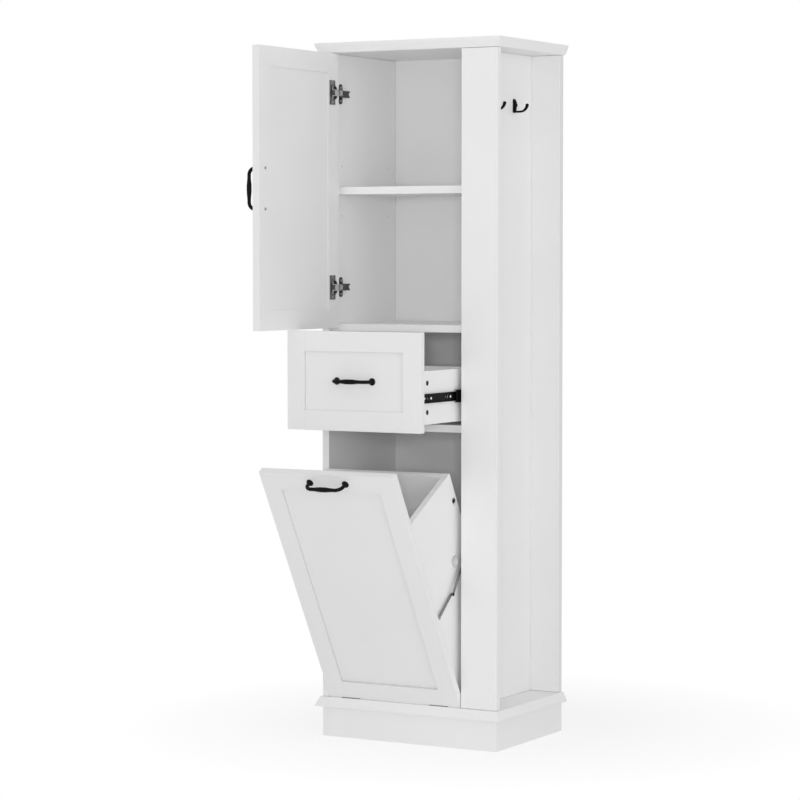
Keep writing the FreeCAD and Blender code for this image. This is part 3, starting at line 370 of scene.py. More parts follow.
class Piece:
    """A mesh on the workbench with the operators that shape it. Lengths are in millimetres."""

    def __init__(self, item: Object) -> None:
        """Keep the mesh object."""
        self.item = item

    @property
    def mesh(self) -> Mesh:
        """Return the mesh."""
        return self.item.data

    @classmethod
    def cylinder(cls, radius: float, depth: float, sides: int,
                 place: Sequence[float] = (0, 0, 0)) -> "Piece":
        """Start with an upright cylinder.

        Args:
            radius: Its radius.
            depth: Its height.
            sides: The number of its sides.
            place: The middle of its underside.

        Returns:
            The piece.
        """
        clear_bench()
        middle = (Vector(place) + UP * depth / 2) * MM
        bpy.ops.mesh.primitive_cylinder_add(vertices=sides, radius=radius * MM, depth=depth * MM,
                                            location=tuple(middle), end_fill_type="NGON")
        return cls(bpy.context.object).put()

    @classmethod
    def turned(cls, profile: tuple, sides: int, place: Sequence[float] = (0, 0, 0)) -> "Piece":
        """Start with an upright round piece whose radius changes along its height.

        Args:
            profile: Pairs of a height and a radius. The piece is straight up to the first one.
            sides: The number of its sides.
            place: The middle of its underside.

        Returns:
            The piece.
        """
        height, radius = profile[0]
        piece = cls.cylinder(radius, height, sides, place)
        piece.pick_side(UP)
        piece.steps(place, UP, profile)
        piece.done()
        return piece

    @classmethod
    def block(cls, size: Sequence[float], place: Sequence[float] = (0, 0, 0)) -> "Piece":
        """Start with a block.

        Args:
            size: Its width, depth and height.
            place: Its middle.

        Returns:
            The piece.
        """
        clear_bench()
        bpy.ops.mesh.primitive_cube_add(size=MM, location=tuple(Vector(place) * MM), scale=size)
        return cls(bpy.context.object).put()

    @classmethod
    def merged(cls, name: str) -> "Piece":
        """Start with a CAD node's mesh, with its points merged and its flat faces whole.

        Args:
            name: The node's name.

        Returns:
            The piece, which stands apart from the node.
        """
        piece = cls(bpy.data.objects.new(name, frame["nodes"][name].data.copy()))
        bpy.context.scene.collection.objects.link(piece.item)
        piece.merge()
        bpy.ops.mesh.dissolve_limited(angle_limit=math.radians(FLAT_ANGLE))
        piece.done()
        return piece

    @staticmethod
    def join(pieces: list["Piece"]) -> "Piece":
        """Join pieces into the first one.

        Args:
            pieces: The pieces.

        Returns:
            The first one, which now holds them all.
        """
        clear_bench()
        for piece in pieces:
            piece.item.select_set(True)
        bpy.context.view_layer.objects.active = pieces[0].item
        bpy.ops.object.join()
        return pieces[0]

    def take(self) -> None:
        """Select this piece alone and make it active."""
        clear_bench()
        self.item.select_set(True)
        bpy.context.view_layer.objects.active = self.item

    def edit(self) -> None:
        """Open the piece in edit mode with nothing selected in it."""
        self.take()
        bpy.ops.object.mode_set(mode="EDIT")
        bpy.ops.mesh.select_all(action="DESELECT")

    def done(self) -> None:
        """Leave edit mode."""
        bpy.ops.object.mode_set(mode="OBJECT")

    def put(self, place: Matrix | None = None) -> "Piece":
        """Give the piece a new place, where there is one, and apply its place to its mesh.

        Args:
            place: Its new place, in metres.

        Returns:
            The piece itself.
        """
        if place is not None:
            self.item.matrix_world = place
        self.take()
        bpy.ops.object.transform_apply(location=True, rotation=True, scale=True)
        return self

    def copy(self, place: Matrix) -> "Piece":
        """Copy this pattern, which lies at the origin, with its own mesh.

        Args:
            place: Where the copy goes.

        Returns:
            The copy.
        """
        twin = self.item.copy()
        twin.data = self.mesh.copy()
        bpy.context.scene.collection.objects.link(twin)
        return Piece(twin).put(place)

    def copies(self, places: list[Matrix]) -> "Piece":
        """Copy this pattern to several places and join the copies."""
        return Piece.join([self.copy(place) for place in places])

    def remove(self) -> None:
        """Remove a pattern that was only copied from."""
        bpy.data.objects.remove(self.item, do_unlink=True)

    def start_pick(self, kind: str) -> None:
        """Set the element mode with nothing selected, so that elements can be picked.

        Args:
            kind: The element mode.
        """
        self.edit()
        bpy.ops.mesh.select_mode(type=kind)
        bpy.ops.mesh.select_all(action="DESELECT")
        self.done()

    def pick_faces(self, test: FaceOrEdgeTest) -> None:
        """Open the piece in edit mode with the faces selected that pass a test.

        Args:
            test: A function of a face's centre and normal.
        """
        self.start_pick("FACE")
        for face in self.mesh.polygons:
            face.select = bool(test(face.center, face.normal))
        bpy.ops.object.mode_set(mode="EDIT")

    def pick_side(self, way: Vector) -> None:
        """Open the piece in edit mode with the faces selected that look one way."""
        self.pick_faces(lambda centre, normal: normal.dot(way) > FACING)

    def pick_edges(self, test: FaceOrEdgeTest) -> None:
        """Open the piece in edit mode with the edges selected that pass a test.

        Args:
            test: A function of an edge's two ends.
        """
        self.start_pick("EDGE")
        for edge in self.mesh.edges:
            edge.select = bool(test(*(self.mesh.vertices[end].co for end in edge.vertices)))
        bpy.ops.object.mode_set(mode="EDIT")

    def extrude(self, way: Vector, distance: float) -> None:
        """Extrude what is selected along a unit direction."""
        bpy.ops.mesh.extrude_region_move(TRANSFORM_OT_translate={"value": tuple(way * distance * MM)})

    def scale(self, ratios: Sequence[float], centre: Sequence[float]) -> None:
        """Scale what is selected about a place in metres."""
        bpy.ops.transform.resize(value=ratios, center_override=tuple(centre))

    def spin(self, steps: int, angle: float, centre: Sequence[float], axis: Vector) -> None:
        """Spin what is selected about an axis through a place in metres."""
        bpy.ops.mesh.spin(steps=steps, dupli=False, angle=angle, center=tuple(centre), axis=tuple(axis))

    def bevel(self, width: float, segments: int) -> None:
        """Bevel the selected edges."""
        bpy.ops.mesh.bevel(offset=width * MM, segments=segments, affect="EDGES")

    def bisect(self, place: Sequence[float], axis: Vector) -> None:
        """Cut all faces along a plane through a place in metres."""
        bpy.ops.mesh.select_all(action="SELECT")
        bpy.ops.mesh.bisect(plane_co=tuple(place), plane_no=tuple(axis))

    def steps(self, centre: Sequence[float], way: Vector, stations: tuple) -> None:
        """Extrude the selected end along a way, with a new radius at each station.

        Args:
            centre: Where distance 0 lies.
            way: The unit direction of the extrusion.
            stations: Pairs of a distance and a radius, from the present one on.
        """
        at, last = stations[0]
        for distance, radius in stations[1:]:
            self.extrude(way, distance - at)
            self.scale((radius / last,) * 3, (Vector(centre) + way * distance) * MM)
            at, last = distance, radius

    def merge(self) -> None:
        """Open the piece in edit mode with all of it selected, and merge its doubled points."""
        self.edit()
        bpy.ops.mesh.select_mode(type="VERT")
        bpy.ops.mesh.select_all(action="SELECT")
        bpy.ops.mesh.remove_doubles(threshold=MERGE)

    def tidy(self) -> None:
        """Merge the doubled points and turn the faces outwards."""
        self.merge()
        bpy.ops.mesh.normals_make_consistent(inside=False)
        self.done()

    def finish(self, kind: str, **values: object) -> None:
        """Add a modifier and apply it.

        Args:
            kind: The modifier's type.
            values: The modifier's properties.
        """
        self.take()
        modifier = self.item.modifiers.new(kind.title(), kind)
        for name, value in values.items():
            setattr(modifier, name, value)
        bpy.ops.object.modifier_apply(modifier=modifier.name)

    def smooth(self, degrees: float) -> None:
        """Shade the piece smooth across its shallow edges."""
        self.take()
        bpy.ops.object.shade_smooth_by_angle(angle=math.radians(degrees))

    def ease(self, width: float) -> None:
        """Round the sharp edges by a small width and shade the piece.

        Args:
            width: How wide the round is.
        """
        self.finish("BEVEL", width=width * MM, segments=2, limit_method="ANGLE",
                    angle_limit=math.radians(EASE_ANGLE), miter_outer="MITER_ARC")
        self.smooth(SHADE_ANGLE)
        self.finish("WEIGHTED_NORMAL", keep_sharp=True, weight=60)

    def cut(self, cutter: "Piece") -> None:
        """Cut the piece by another one, which is then removed."""
        self.finish("BOOLEAN", object=cutter.item, operation="DIFFERENCE", solver="EXACT")
        cutter.remove()

    def cut_cross(self, reach: float, width: float, depth: float, level: float) -> None:
        """Cut a cross recess into a pattern that stands on the Z axis.

        Args:
            reach: The length of the cross.
            width: The width of its arms.
            depth: The height of the two cutters.
            level: The height of their middle.
        """
        for size in ((reach, width, depth), (width, reach, depth)):
            self.cut(Piece.block(size, (0, 0, level)))

    def accent(self, look: str, test: FaceOrEdgeTest) -> None:
        """Give the faces that pass a test a second finish.

        Args:
            look: The finish.
            test: A function of a face's centre and normal.
        """
        self.mesh.materials.append(MATERIALS[look])
        for face in self.mesh.polygons:
            face.material_index = int(test(face.center, face.normal))

    def hand_over(self, name: str, slot: str, body: str, *nodes: str, look: str = "") -> None:
        """Name the finished piece, dress it, and tie it to its body.

        Args:
            name: The piece's name.
            slot: The material slot of the record that it takes its finish from.
            body: The body that it moves with.
            nodes: The CAD nodes that it stands for.
            look: The finish, where it is another one than the slot's own.
        """
        piece = self.item
        piece.name = name
        piece.data.name = name
        piece.data.materials.clear()
        piece.data.materials.append(MATERIALS[look or slot])
        if nodes:
            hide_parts(*nodes)
        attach(piece, body)
        LOG.info("%s: %d faces on %s", name, len(piece.data.polygons), body)


def crosswise(a: Vector, b: Vector) -> bool:
    """Tell whether an edge between two points runs along X."""
    return abs(a.y - b.y) < NEAR and abs(a.z - b.z) < NEAR


def shade_recess(piece: Piece, name: str, body: str) -> None:
    """Paint the walls of a framed front's recess a little darker, as painted shade for the shadow in such a
    corner.

    Args:
        piece: A stile or rail, already dressed.
        name: The CAD node that it stands for.
        body: The body that it moves with.
    """
    side = next((way for ending, way in RECESS_SIDES.items() if name.endswith(ending)), None)
    if side is not None and body != "cabinet":
        way = Part[body.upper()].value.turn().to_3x3() @ side
        # Painted shade: the recess walls take the darker white.
        piece.accent("white_recess_painted_shade", lambda centre, normal: normal.dot(way) > FACING)


# Pieces


@dataclass
class Boards:
    """The boards, panels and thin metal parts: each is its CAD shape with eased edges."""

    eases: dict[str, float] = field(default_factory=lambda: {
        "white_front": 0.4, "white_board": 0.6, "white_backing": 0.3, "screw_steel": 0.3,
        "nickel_hinge": 0.2, "dark_hardware": 0.15,
    })
    looks: dict[str, str] = field(default_factory=lambda: {
        "stay_upper_link": "stay_metal", "stay_lower_link": "stay_metal", "door_hinge_cups": "hinge_cup",
        # The rear stile takes the darker white of painted shade for the niche.
        "rear_stile": "white_niche", "hamper_hinge_fixed_leaves": "stay_metal",
        "hamper_hinge_moving_leaves": "stay_metal",
    })
    made_elsewhere: tuple = (
        "door_handle", "drawer_handle", "hamper_handle", "robe_hooks", "door_handle_screws",
        "drawer_handle_screws", "hamper_handle_screws", "drawer_cam_locks", "hamper_cam_locks",
        "hinge_plates", "hinge_arms", "door_hinge_links", "slide_inner_members", "slide_middle_members",
        "hamper_left_stile", "hamper_bottom_rail", "hamper_right_stile", "door_panel", "top_board",
        "base_board",
    )
    seam: float = 0.7
    joints: dict[str, tuple] = field(default_factory=lambda: {
        "left_side_panel": (UP, DOWN), "right_side_panel": (UP, DOWN, REAR), "front_stile": (UP, DOWN),
        "rear_stile": (UP, DOWN), "back_panel": (FRONT, FRONT),
    })

    def draw_in(self, piece: Piece, way: Vector) -> None:
        """Move the end that looks one way in by a seam's width, for the fine dark line of a joint.

        Args:
            piece: The board.
            way: The unit direction that the end looks in.
        """
        end = max(point.co.dot(way) for point in piece.mesh.vertices) - NEAR
        piece.pick_faces(lambda centre, normal: normal.dot(way) > FACING and centre.dot(way) > end)
        bpy.ops.transform.translate(value=tuple(way * -self.seam * MM))
        piece.done()

    def build(self) -> None:
        """Build each piece from its node's shape."""
        for item in frame["record"]["subparts"]:
            name, slot = item["node"], item["material_slot"]
            node = frame["nodes"][name]
            for place in node.material_slots:
                place.material = MATERIALS[slot]
            if name in self.made_elsewhere:
                continue
            piece = Piece.merged(name)
            for way in self.joints.get(name, ()):
                self.draw_in(piece, way)
            piece.ease(self.eases[slot])
            piece.hand_over(f"{name}_eased", slot, node["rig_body"], name, look=self.looks.get(name, ""))
            shade_recess(piece, name, node["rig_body"])


@dataclass
class MouldedBoards:
    """The top and base boards. Their edge slopes in from a narrow lip along the front and both sides."""

    width: float = 482.0
    depth: float = 352.0
    edge: float = 0.6
    profile: tuple = ((4.5, 14.0), (8.0, 12.6), (12.0, 10.6), (16.0, 8.6), (20.0, 6.6), (22.8, 5.2),
                      (24.0, 3.8))
    boards: tuple = (("top_board", 1700.0, DOWN), ("base_board", 74.0, UP))

    def build(self) -> None:
        """Build both boards, each from its wide face to its narrow one."""
        for name, wide, way in self.boards:
            at, out = self.profile[0]
            middle = Vector((self.width / 2, (self.depth - out) / 2, wide + way.z * at / 2)) + CORNER
            piece = Piece.block((self.width + 2 * out, self.depth + out, at), middle)
            piece.pick_side(way)
            for level, reach in self.profile[1:]:
                piece.extrude(way, level - at)
                ratios = ((self.width + 2 * reach) / (self.width + 2 * out),
                          (self.depth + reach) / (self.depth + out), 1)
                piece.scale(ratios, spot(self.width / 2, self.depth, wide + way.z * level))
                at, out = level, reach
            piece.done()
            piece.ease(self.edge)
            piece.hand_over(f"{name}_eased", "white_board", "cabinet", name)


@dataclass
class FrontEdges:
    """The door's panel, thicker at the back, and the hamper's frame, which meets the base by its hinges."""

    thicker: float = 3.0
    drop: float = 2.0
    edge: float = 0.4
    mortises: tuple = ((54.0, 106.0), (298.0, 350.0))

    def grow(self, piece: Piece, way: Vector, reach: float, test: Callable[[Vector], bool]) -> None:
        """Extrude the faces that look one way and ease the piece.

        Args:
            piece: The piece.
            way: The unit direction that they look and move in.
            reach: How far they move.
            test: A function of a face's centre, which tells whether the face moves.
        """
        piece.pick_faces(lambda centre, normal: normal.dot(way) > FACING and test(centre))
        piece.extrude(way, reach)
        piece.done()
        piece.ease(self.edge)

    def build(self) -> None:
        """Build the panel and the lower frame."""
        panel = Piece.merged("door_panel")
        self.grow(panel, RIGHT, self.thicker, lambda centre: True)
        panel.hand_over("door_panel_eased", "white_front", "door", "door_panel")
        down = Part.HAMPER.value.turn().to_3x3() @ DOWN
        gaps = [(spot(low, 0, 0).x, spot(high, 0, 0).x) for low, high in self.mortises]
        for name in ("hamper_left_stile", "hamper_bottom_rail", "hamper_right_stile"):
            piece = Piece.merged(name)
            piece.edit()
            for x in (edge for gap in gaps for edge in gap):
                piece.bisect((x, 0, 0), RIGHT)
            piece.done()
            self.grow(piece, down, self.drop, lambda centre: not any(low < centre.x < high
                                                                     for low, high in gaps))
            piece.hand_over(f"{name}_eased", "white_front", "hamper", name)
            shade_recess(piece, name, "hamper")


@dataclass
class BowHandles:
    """The black bow handles. Their pattern runs along X and reaches towards -Y from y = 0."""

    reach: float = 26.5
    bend: float = 16.0
    end_radius: float = 4.3
    middle_radius: float = 5.9
    swell_start: float = 0.15
    swell_length: float = 0.7
    foot: tuple = ((1.2, 8.75), (2.2, 8.2), (3.1, 7.2), (3.8, 6.0), (4.4, 4.9), (5.4, 4.4), (6.2, 4.3))
    foot_sides: int = 40
    sides: int = 28
    bend_steps: int = 12
    bar_steps: int = 12
    shade_angle: float = 40.0

    def swell(self, share: float) -> float:
        """Return the bar's radius at a share of the way from the bend to the middle."""
        held = min(max((share - self.swell_start) / self.swell_length, 0.0), 1.0)
        return self.end_radius + (self.middle_radius - self.end_radius) * held * held * (3 - 2 * held)

    def half_bar(self) -> Piece:
        """Build one half of the bar with its bend and post.

        Returns:
            The half bar, open at both ends.
        """
        half = HANDLE_SPACING / 2
        rise, length = self.reach - self.bend, half - self.bend
        clear_bench()
        bpy.ops.mesh.primitive_circle_add(vertices=self.sides, radius=self.end_radius * MM,
                                          fill_type="NOTHING", location=(half * MM, 0, 0),
                                          rotation=(math.pi / 2, 0, 0))
        piece = Piece(bpy.context.object).put()
        piece.edit()
        bpy.ops.mesh.select_mode(type="EDGE")
        bpy.ops.mesh.select_all(action="SELECT")
        piece.extrude(FRONT, rise)
        piece.spin(self.bend_steps, math.pi / 2, Vector((length, -rise, 0)) * MM, UP)
        shares = [number / self.bar_steps for number in range(self.bar_steps + 1)]
        stations = tuple((length * share, self.swell(share)) for share in shares)
        piece.steps((length, -self.reach, 0), LEFT, stations)
        piece.done()
        return piece

    def foot_piece(self, x: float) -> Piece:
        """Build one domed foot at a distance along the handle."""
        return Piece.turned(self.foot, self.foot_sides).put(Matrix.Translation((x * MM, 0, 0)) @ FORWARD)

    def pattern(self) -> Piece:
        """Build the whole handle at the origin.

        Returns:
            The handle's pattern.
        """
        bar = self.half_bar()
        bar.finish("MIRROR", use_axis=(True, False, False), merge_threshold=NEAR)
        bar.edit()
        bpy.ops.mesh.select_mode(type="VERT")
        bpy.ops.mesh.select_non_manifold()
        bpy.ops.mesh.edge_face_add()
        bar.done()
        bar.tidy()
        piece = Piece.join([bar, self.foot_piece(-HANDLE_SPACING / 2), self.foot_piece(HANDLE_SPACING / 2)])
        piece.smooth(self.shade_angle)
        return piece

    def build(self) -> None:
        """Build the handles on the door, the drawer and the hamper."""
        pattern = self.pattern()
        for seat in HANDLES:
            body = seat.part.body()
            piece = pattern.copy(seat.handle())
            piece.hand_over(f"{body}_bow_handle", "black_metal", body, f"{body}_handle")
        pattern.remove()


@dataclass(frozen=True)
class ScrewPattern:
    """A screw with a domed head and a cross recess. It stands on z = 0 with its shank below.

    The dome and the cross are shares of the head's height and radius.
    """

    head: float
    height: float
    shank: float
    length: float
    sides: int = 28
    dome: tuple = ((0.45, 1.0), (0.68, 0.93), (0.86, 0.78), (0.96, 0.6), (1.0, 0.4))
    cross_reach: float = 1.1
    cross_width: float = 0.2
    cross_depth: float = 0.9
    shade_angle: float = 35.0

    def build(self) -> Piece:
        """Build the pattern.

        Returns:
            The pattern.
        """
        dome = tuple((rise * self.height, wide * self.head) for rise, wide in self.dome)
        piece = Piece.turned(dome, self.sides)
        piece.pick_side(DOWN)
        piece.steps((0, 0, 0), DOWN, ((0, self.head), (0, self.shank), (self.length, self.shank)))
        piece.done()
        piece.cut_cross(self.head * self.cross_reach, self.head * self.cross_width,
                        self.height * self.cross_depth, self.height)
        piece.smooth(self.shade_angle)
        return piece


@dataclass
class RobeHooks:
    """The two robe hooks in the towel niche. Their pattern reaches towards +X from x = 0."""

    plate_width: float = 12.6
    plate_height: float = 34.0
    plate_thickness: float = 3.0
    plate_corners: tuple = ((True, 6.174, 12), (False, 3.0, 6))
    plate_edge: float = 1.1
    edge_segments: int = 4
    rod: float = 2.5
    rod_sides: int = 24
    bend: float = 19.0
    bend_steps: int = 12
    sweep: float = 78.0
    reach: float = 41.4
    tip: float = 4.2
    tip_rise: float = 21.8
    tip_profile: tuple = ((0.15, 4.2), (0.4, 4.1), (0.62, 3.6), (0.8, 2.8), (0.93, 1.7), (1.0, 0.6))
    swell_start: float = 0.15
    swell_share: float = 0.95
    boss: ScrewPattern = ScrewPattern(head=5.2, height=6.0, shank=2.0, length=1.0)
    boss_level: float = 19.0
    rib_place: tuple = (4.0, 0.0, 1.6)
    rib_sides: int = 20
    rib_profile: tuple = ((3, 2.8), (8, 3.3), (13, 4.2), (17, 4.6), (21, 4.3), (25, 3.3), (28, 2.2),
                          (30, 1.0))
    wall_x: float = 404.0
    distances: tuple = (117.5, 237.0)
    level: float = 1532.0
    shade_angle: float = 40.0

    def plate(self) -> Piece:
        """Build the wall plate with its round ends.

        Returns:
            The plate.
        """
        size = (self.plate_thickness, self.plate_width, self.plate_height)
        piece = Piece.block(size, (size[0] / 2, 0, size[2] / 2))
        middle = self.plate_height / 2 * MM
        for top, radius, segments in self.plate_corners:
            piece.pick_edges(lambda a, b: crosswise(a, b) and (a.z > middle) == top)
            piece.bevel(radius, segments)
        piece.pick_side(RIGHT)
        piece.bevel(self.plate_edge, self.edge_segments)
        piece.done()
        return piece

    def rod_piece(self) -> Piece:
        """Build the rod that curves up and swells to a round tip.

        Returns:
            The rod.
        """
        start = self.plate_thickness / 2
        sweep = math.radians(self.sweep)
        way = Vector((math.cos(sweep), 0, math.sin(sweep)))
        rest = (self.tip_rise - self.rod - self.bend * (1 - math.cos(sweep))) / way.z
        bend_x = self.reach - self.tip - self.bend * math.sin(sweep) - rest * way.x
        piece = Piece.cylinder(self.rod, bend_x - start, self.rod_sides)
        piece.put(Matrix.Translation((start * MM, 0, self.rod * MM)) @ RIGHTWARD)
        piece.pick_side(RIGHT)
        centre = Vector((bend_x, 0, self.rod + self.bend))
        last = self.rod
        for number in range(1, self.bend_steps + 1):
            share = number / self.bend_steps
            piece.spin(1, sweep / self.bend_steps, centre * MM, REAR)
            swell = self.swell_share * max(share - self.swell_start, 0) / (1 - self.swell_start)
            radius = self.rod + (self.tip - self.rod) * swell
            place = centre + Matrix.Rotation(-sweep * share, 3, "Y") @ DOWN * self.bend
            piece.scale((radius / last,) * 3, place * MM)
            last = radius
        piece.steps(place, way, ((0, last), *((share * rest, wide) for share, wide in self.tip_profile)))
        piece.done()
        piece.tidy()
        return piece

    def boss_piece(self) -> Piece:
        """Build the round boss with its cross recess."""
        place = Matrix.Translation((self.plate_thickness * MM, 0, self.boss_level * MM)) @ RIGHTWARD
        return self.boss.build().put(place)

    def rib(self) -> Piece:
        """Build the rib that swells behind the boss and runs down to the rod."""
        return Piece.turned(self.rib_profile, self.rib_sides, self.rib_place)

    def build(self) -> None:
        """Build both hooks as one piece."""
        pattern = Piece.join([self.plate(), self.rod_piece(), self.boss_piece(), self.rib()])
        pattern.smooth(self.shade_angle)
        hooks = pattern.copies([Part.CABINET.at(self.wall_x, distance, self.level)
                                for distance in self.distances])
        pattern.remove()
        hooks.hand_over("niche_robe_hooks", "black_metal", "cabinet", "robe_hooks")


@dataclass
class Screws:
    """All the screws that show: behind the handles, on the hinges and on the slides."""

    wood: ScrewPattern = ScrewPattern(head=3.6, height=1.6, shank=1.5, length=4.0)
    knee: ScrewPattern = ScrewPattern(head=3.8, height=1.8, shank=1.8, length=6.8)
    knee_place: tuple = (383.0, -33.0, 376.1)
    cup_place: tuple = (51.5, 19.2)
    cup_spread: float = 24.0
    plate_place: tuple = (20.0, 56.0)
    plate_spread: float = 16.0
    slide_level: float = 849.0
    slide_faces: tuple = ((374.5, RIGHTWARD), (29.5, LEFTWARD))
    slide_distances: tuple = (66.8, 162.6, 290.0)

    def handle_screws(self) -> None:
        """Build the screws behind the handles, first the long ones."""
        for shank in (LONG_SHANK, SHORT_SHANK):
            pattern = ScrewPattern(head=3.5, height=2.2, shank=1.95, length=shank).build()
            for seat in (seat for seat in HANDLES if seat.shank == shank):
                body = seat.part.body()
                pattern.copies(seat.screws()).hand_over(f"{body}_handle_screw_heads", "screw_steel", body,
                                                        f"{body}_handle_screws")
            pattern.remove()

    def build(self) -> None:
        """Build each group of screws."""
        self.handle_screws()
        pattern = self.wood.build()
        cups = [Part.DOOR.at(*self.cup_place, level + side * self.cup_spread, BACKWARD)
                for level in HINGE_LEVELS for side in (-1, 1)]
        plates = [Part.CABINET.at(*self.plate_place, level + side * self.plate_spread, RIGHTWARD)
                  for level in HINGE_LEVELS for side in (-1, 1)]
        slides = [Part.DRAWER.at(x, distance, self.slide_level, way)
                  for x, way in self.slide_faces for distance in self.slide_distances]
        pattern.copies(cups).hand_over("hinge_cup_screws", "screw_steel", "door")
        pattern.copies(plates).hand_over("hinge_plate_screws", "screw_steel", "cabinet")
        pattern.copies(slides).hand_over("slide_screws", "screw_steel", "drawer", look="bright_screw")
        pattern.remove()
        knee = self.knee.build().put(Part.CABINET.at(*self.knee_place, RIGHTWARD))
        knee.hand_over("stay_knee_rivet", "dark_hardware", "stay_lower")


@dataclass
class CupHingeMounts:
    """The mounting plates with round wings, the arms and the necks over the links."""

    wing_half: float = 24.5
    wing_taper: float = 0.78
    wing_round: float = 6.0
    round_segments: int = 8
    plate_edge: float = 0.3
    light_end: float = 15.5
    arm_edge: float = 0.25
    slot_x: float = 20.5
    slot_radius: float = 5.4
    slot_end: float = 84.5
    slot_depth: float = 14.0
    slot_sides: int = 24
    link_edge: float = 0.2
    web_size: tuple = (1.0, 0.4, 12.2)
    web_edge: float = 0.35
    web_radius: float = 16.7
    web_start: float = -38.0
    web_sweep: float = 49.0
    web_steps: int = 12

    def plates(self) -> None:
        """Build the plates with their wings narrowed and rounded."""
        piece = Piece.merged("hinge_plates")

        def at_tip(point: Vector) -> bool:
            """Tell whether a point lies on the end of a wing."""
            return any(abs(abs(point.z - level * MM) - self.wing_half * MM) < NEAR for level in HINGE_LEVELS)

        edges = [point.co.y for point in piece.mesh.vertices if at_tip(point.co)]
        piece.pick_edges(lambda a, b: at_tip(a) and at_tip(b))
        piece.scale((1, self.wing_taper, 1), (0, (min(edges) + max(edges)) / 2, 0))
        piece.pick_edges(lambda a, b: crosswise(a, b) and at_tip(a))
        piece.bevel(self.wing_round, self.round_segments)
        piece.done()
        piece.ease(self.plate_edge)
        piece.hand_over("hinge_plates_round", "nickel_hinge", "cabinet", "hinge_plates")

    def arms(self) -> None:
        """Build the arms with a slot open to the rear, painted light in front and dark on the plate as a
        painted reflection.
        """
        piece = Piece.merged("hinge_arms")
        cutter = Piece.cylinder(self.slot_radius, self.slot_depth, self.slot_sides)
        for level in HINGE_LEVELS:
            piece.cut(cutter.copy(Part.CABINET.at(self.slot_x, self.slot_end, level, RIGHTWARD)))
        cutter.remove()
        piece.ease(self.arm_edge)
        # Painted reflection: the arm takes the light grey in front of this border and the dark nickel behind
        # it.
        border = spot(0, self.light_end, 0)
        piece.edit()
        piece.bisect(border, REAR)
        piece.done()
        piece.hand_over("hinge_arms_eased", "nickel_hinge", "cabinet", "hinge_arms", look="hinge_arm")
        piece.accent("nickel_hinge", lambda centre, normal: centre.y > border.y)

    def necks(self) -> None:
        """Build the links of each hinge with the pressed neck that covers them."""
        links = Piece.merged("door_hinge_links")
        links.ease(self.link_edge)
        web = Piece.block(self.web_size, (self.web_radius, 0, 0))
        web.pick_side(REAR)
        web.spin(self.web_steps, math.radians(self.web_sweep), (0, 0, 0), DOWN)
        web.done()
        web.ease(self.web_edge)
        start = Matrix.Rotation(math.radians(self.web_start), 4, "Z")
        pivot_x, pivot_y, _ = Part.DOOR.value.pivot
        webs = [web.copy(Matrix.Translation(spot(pivot_x, pivot_y, level)) @ start) for level in HINGE_LEVELS]
        web.remove()
        necks = Piece.join([links, *webs])
        necks.hand_over("hinge_necks", "nickel_hinge", "door", "door_hinge_links", look="hinge_arm")

    def build(self) -> None:
        """Build the plates, the arms and the necks."""
        self.plates()
        self.arms()
        self.necks()


@dataclass
class SlideMembers:
    """The drawer's slide members and the middle ones, with their holes.

    Each hole is given as its distance from the front, its half length and its half height.
    """

    level: float = 849.0
    edge: float = 0.2
    faces: tuple = ((374.0, RIGHTWARD), (30.0, LEFTWARD))
    openings: tuple = ((37.5, 4.2, 3.0), (50.7, 1.5, 4.6), (58.0, 1.2, 3.4), (139.6, 1.6, 2.8),
                       (149.0, 1.7, 5.0), (212.0, 4.6, 4.6), (255.0, 3.0, 3.0))
    middle_openings: tuple = ((16.0, 4.6, 4.6), (130.0, 4.0, 4.0), (200.0, 4.0, 4.0))
    cutter_depth: float = 14.0
    cutter_sides: int = 24

    def pierced(self, node: str, body: str, part: Part, openings: tuple) -> None:
        """Cut holes through the webs on both sides and hand the members over.

        Args:
            node: The members' CAD node.
            body: The body that they move with.
            part: The part whose closed place the distances are measured in.
            openings: The holes.
        """
        piece = Piece.merged(node)
        cutter = Piece.cylinder(1.0, self.cutter_depth, self.cutter_sides, (0, 0, -self.cutter_depth / 2))
        for x, way in self.faces:
            for distance, length, height in openings:
                place = part.at(x, distance, self.level, way) @ Matrix.Diagonal((height, length, 1, 1))
                piece.cut(cutter.copy(place))
        cutter.remove()
        piece.ease(self.edge)
        piece.hand_over(f"{node}_cut", "dark_hardware", body, node)

    def build(self) -> None:
        """Build both pairs of members."""
        self.pierced("slide_inner_members", "drawer", Part.DRAWER, self.openings)
        self.pierced("slide_middle_members", "slide_middle", Part.CABINET, self.middle_openings)


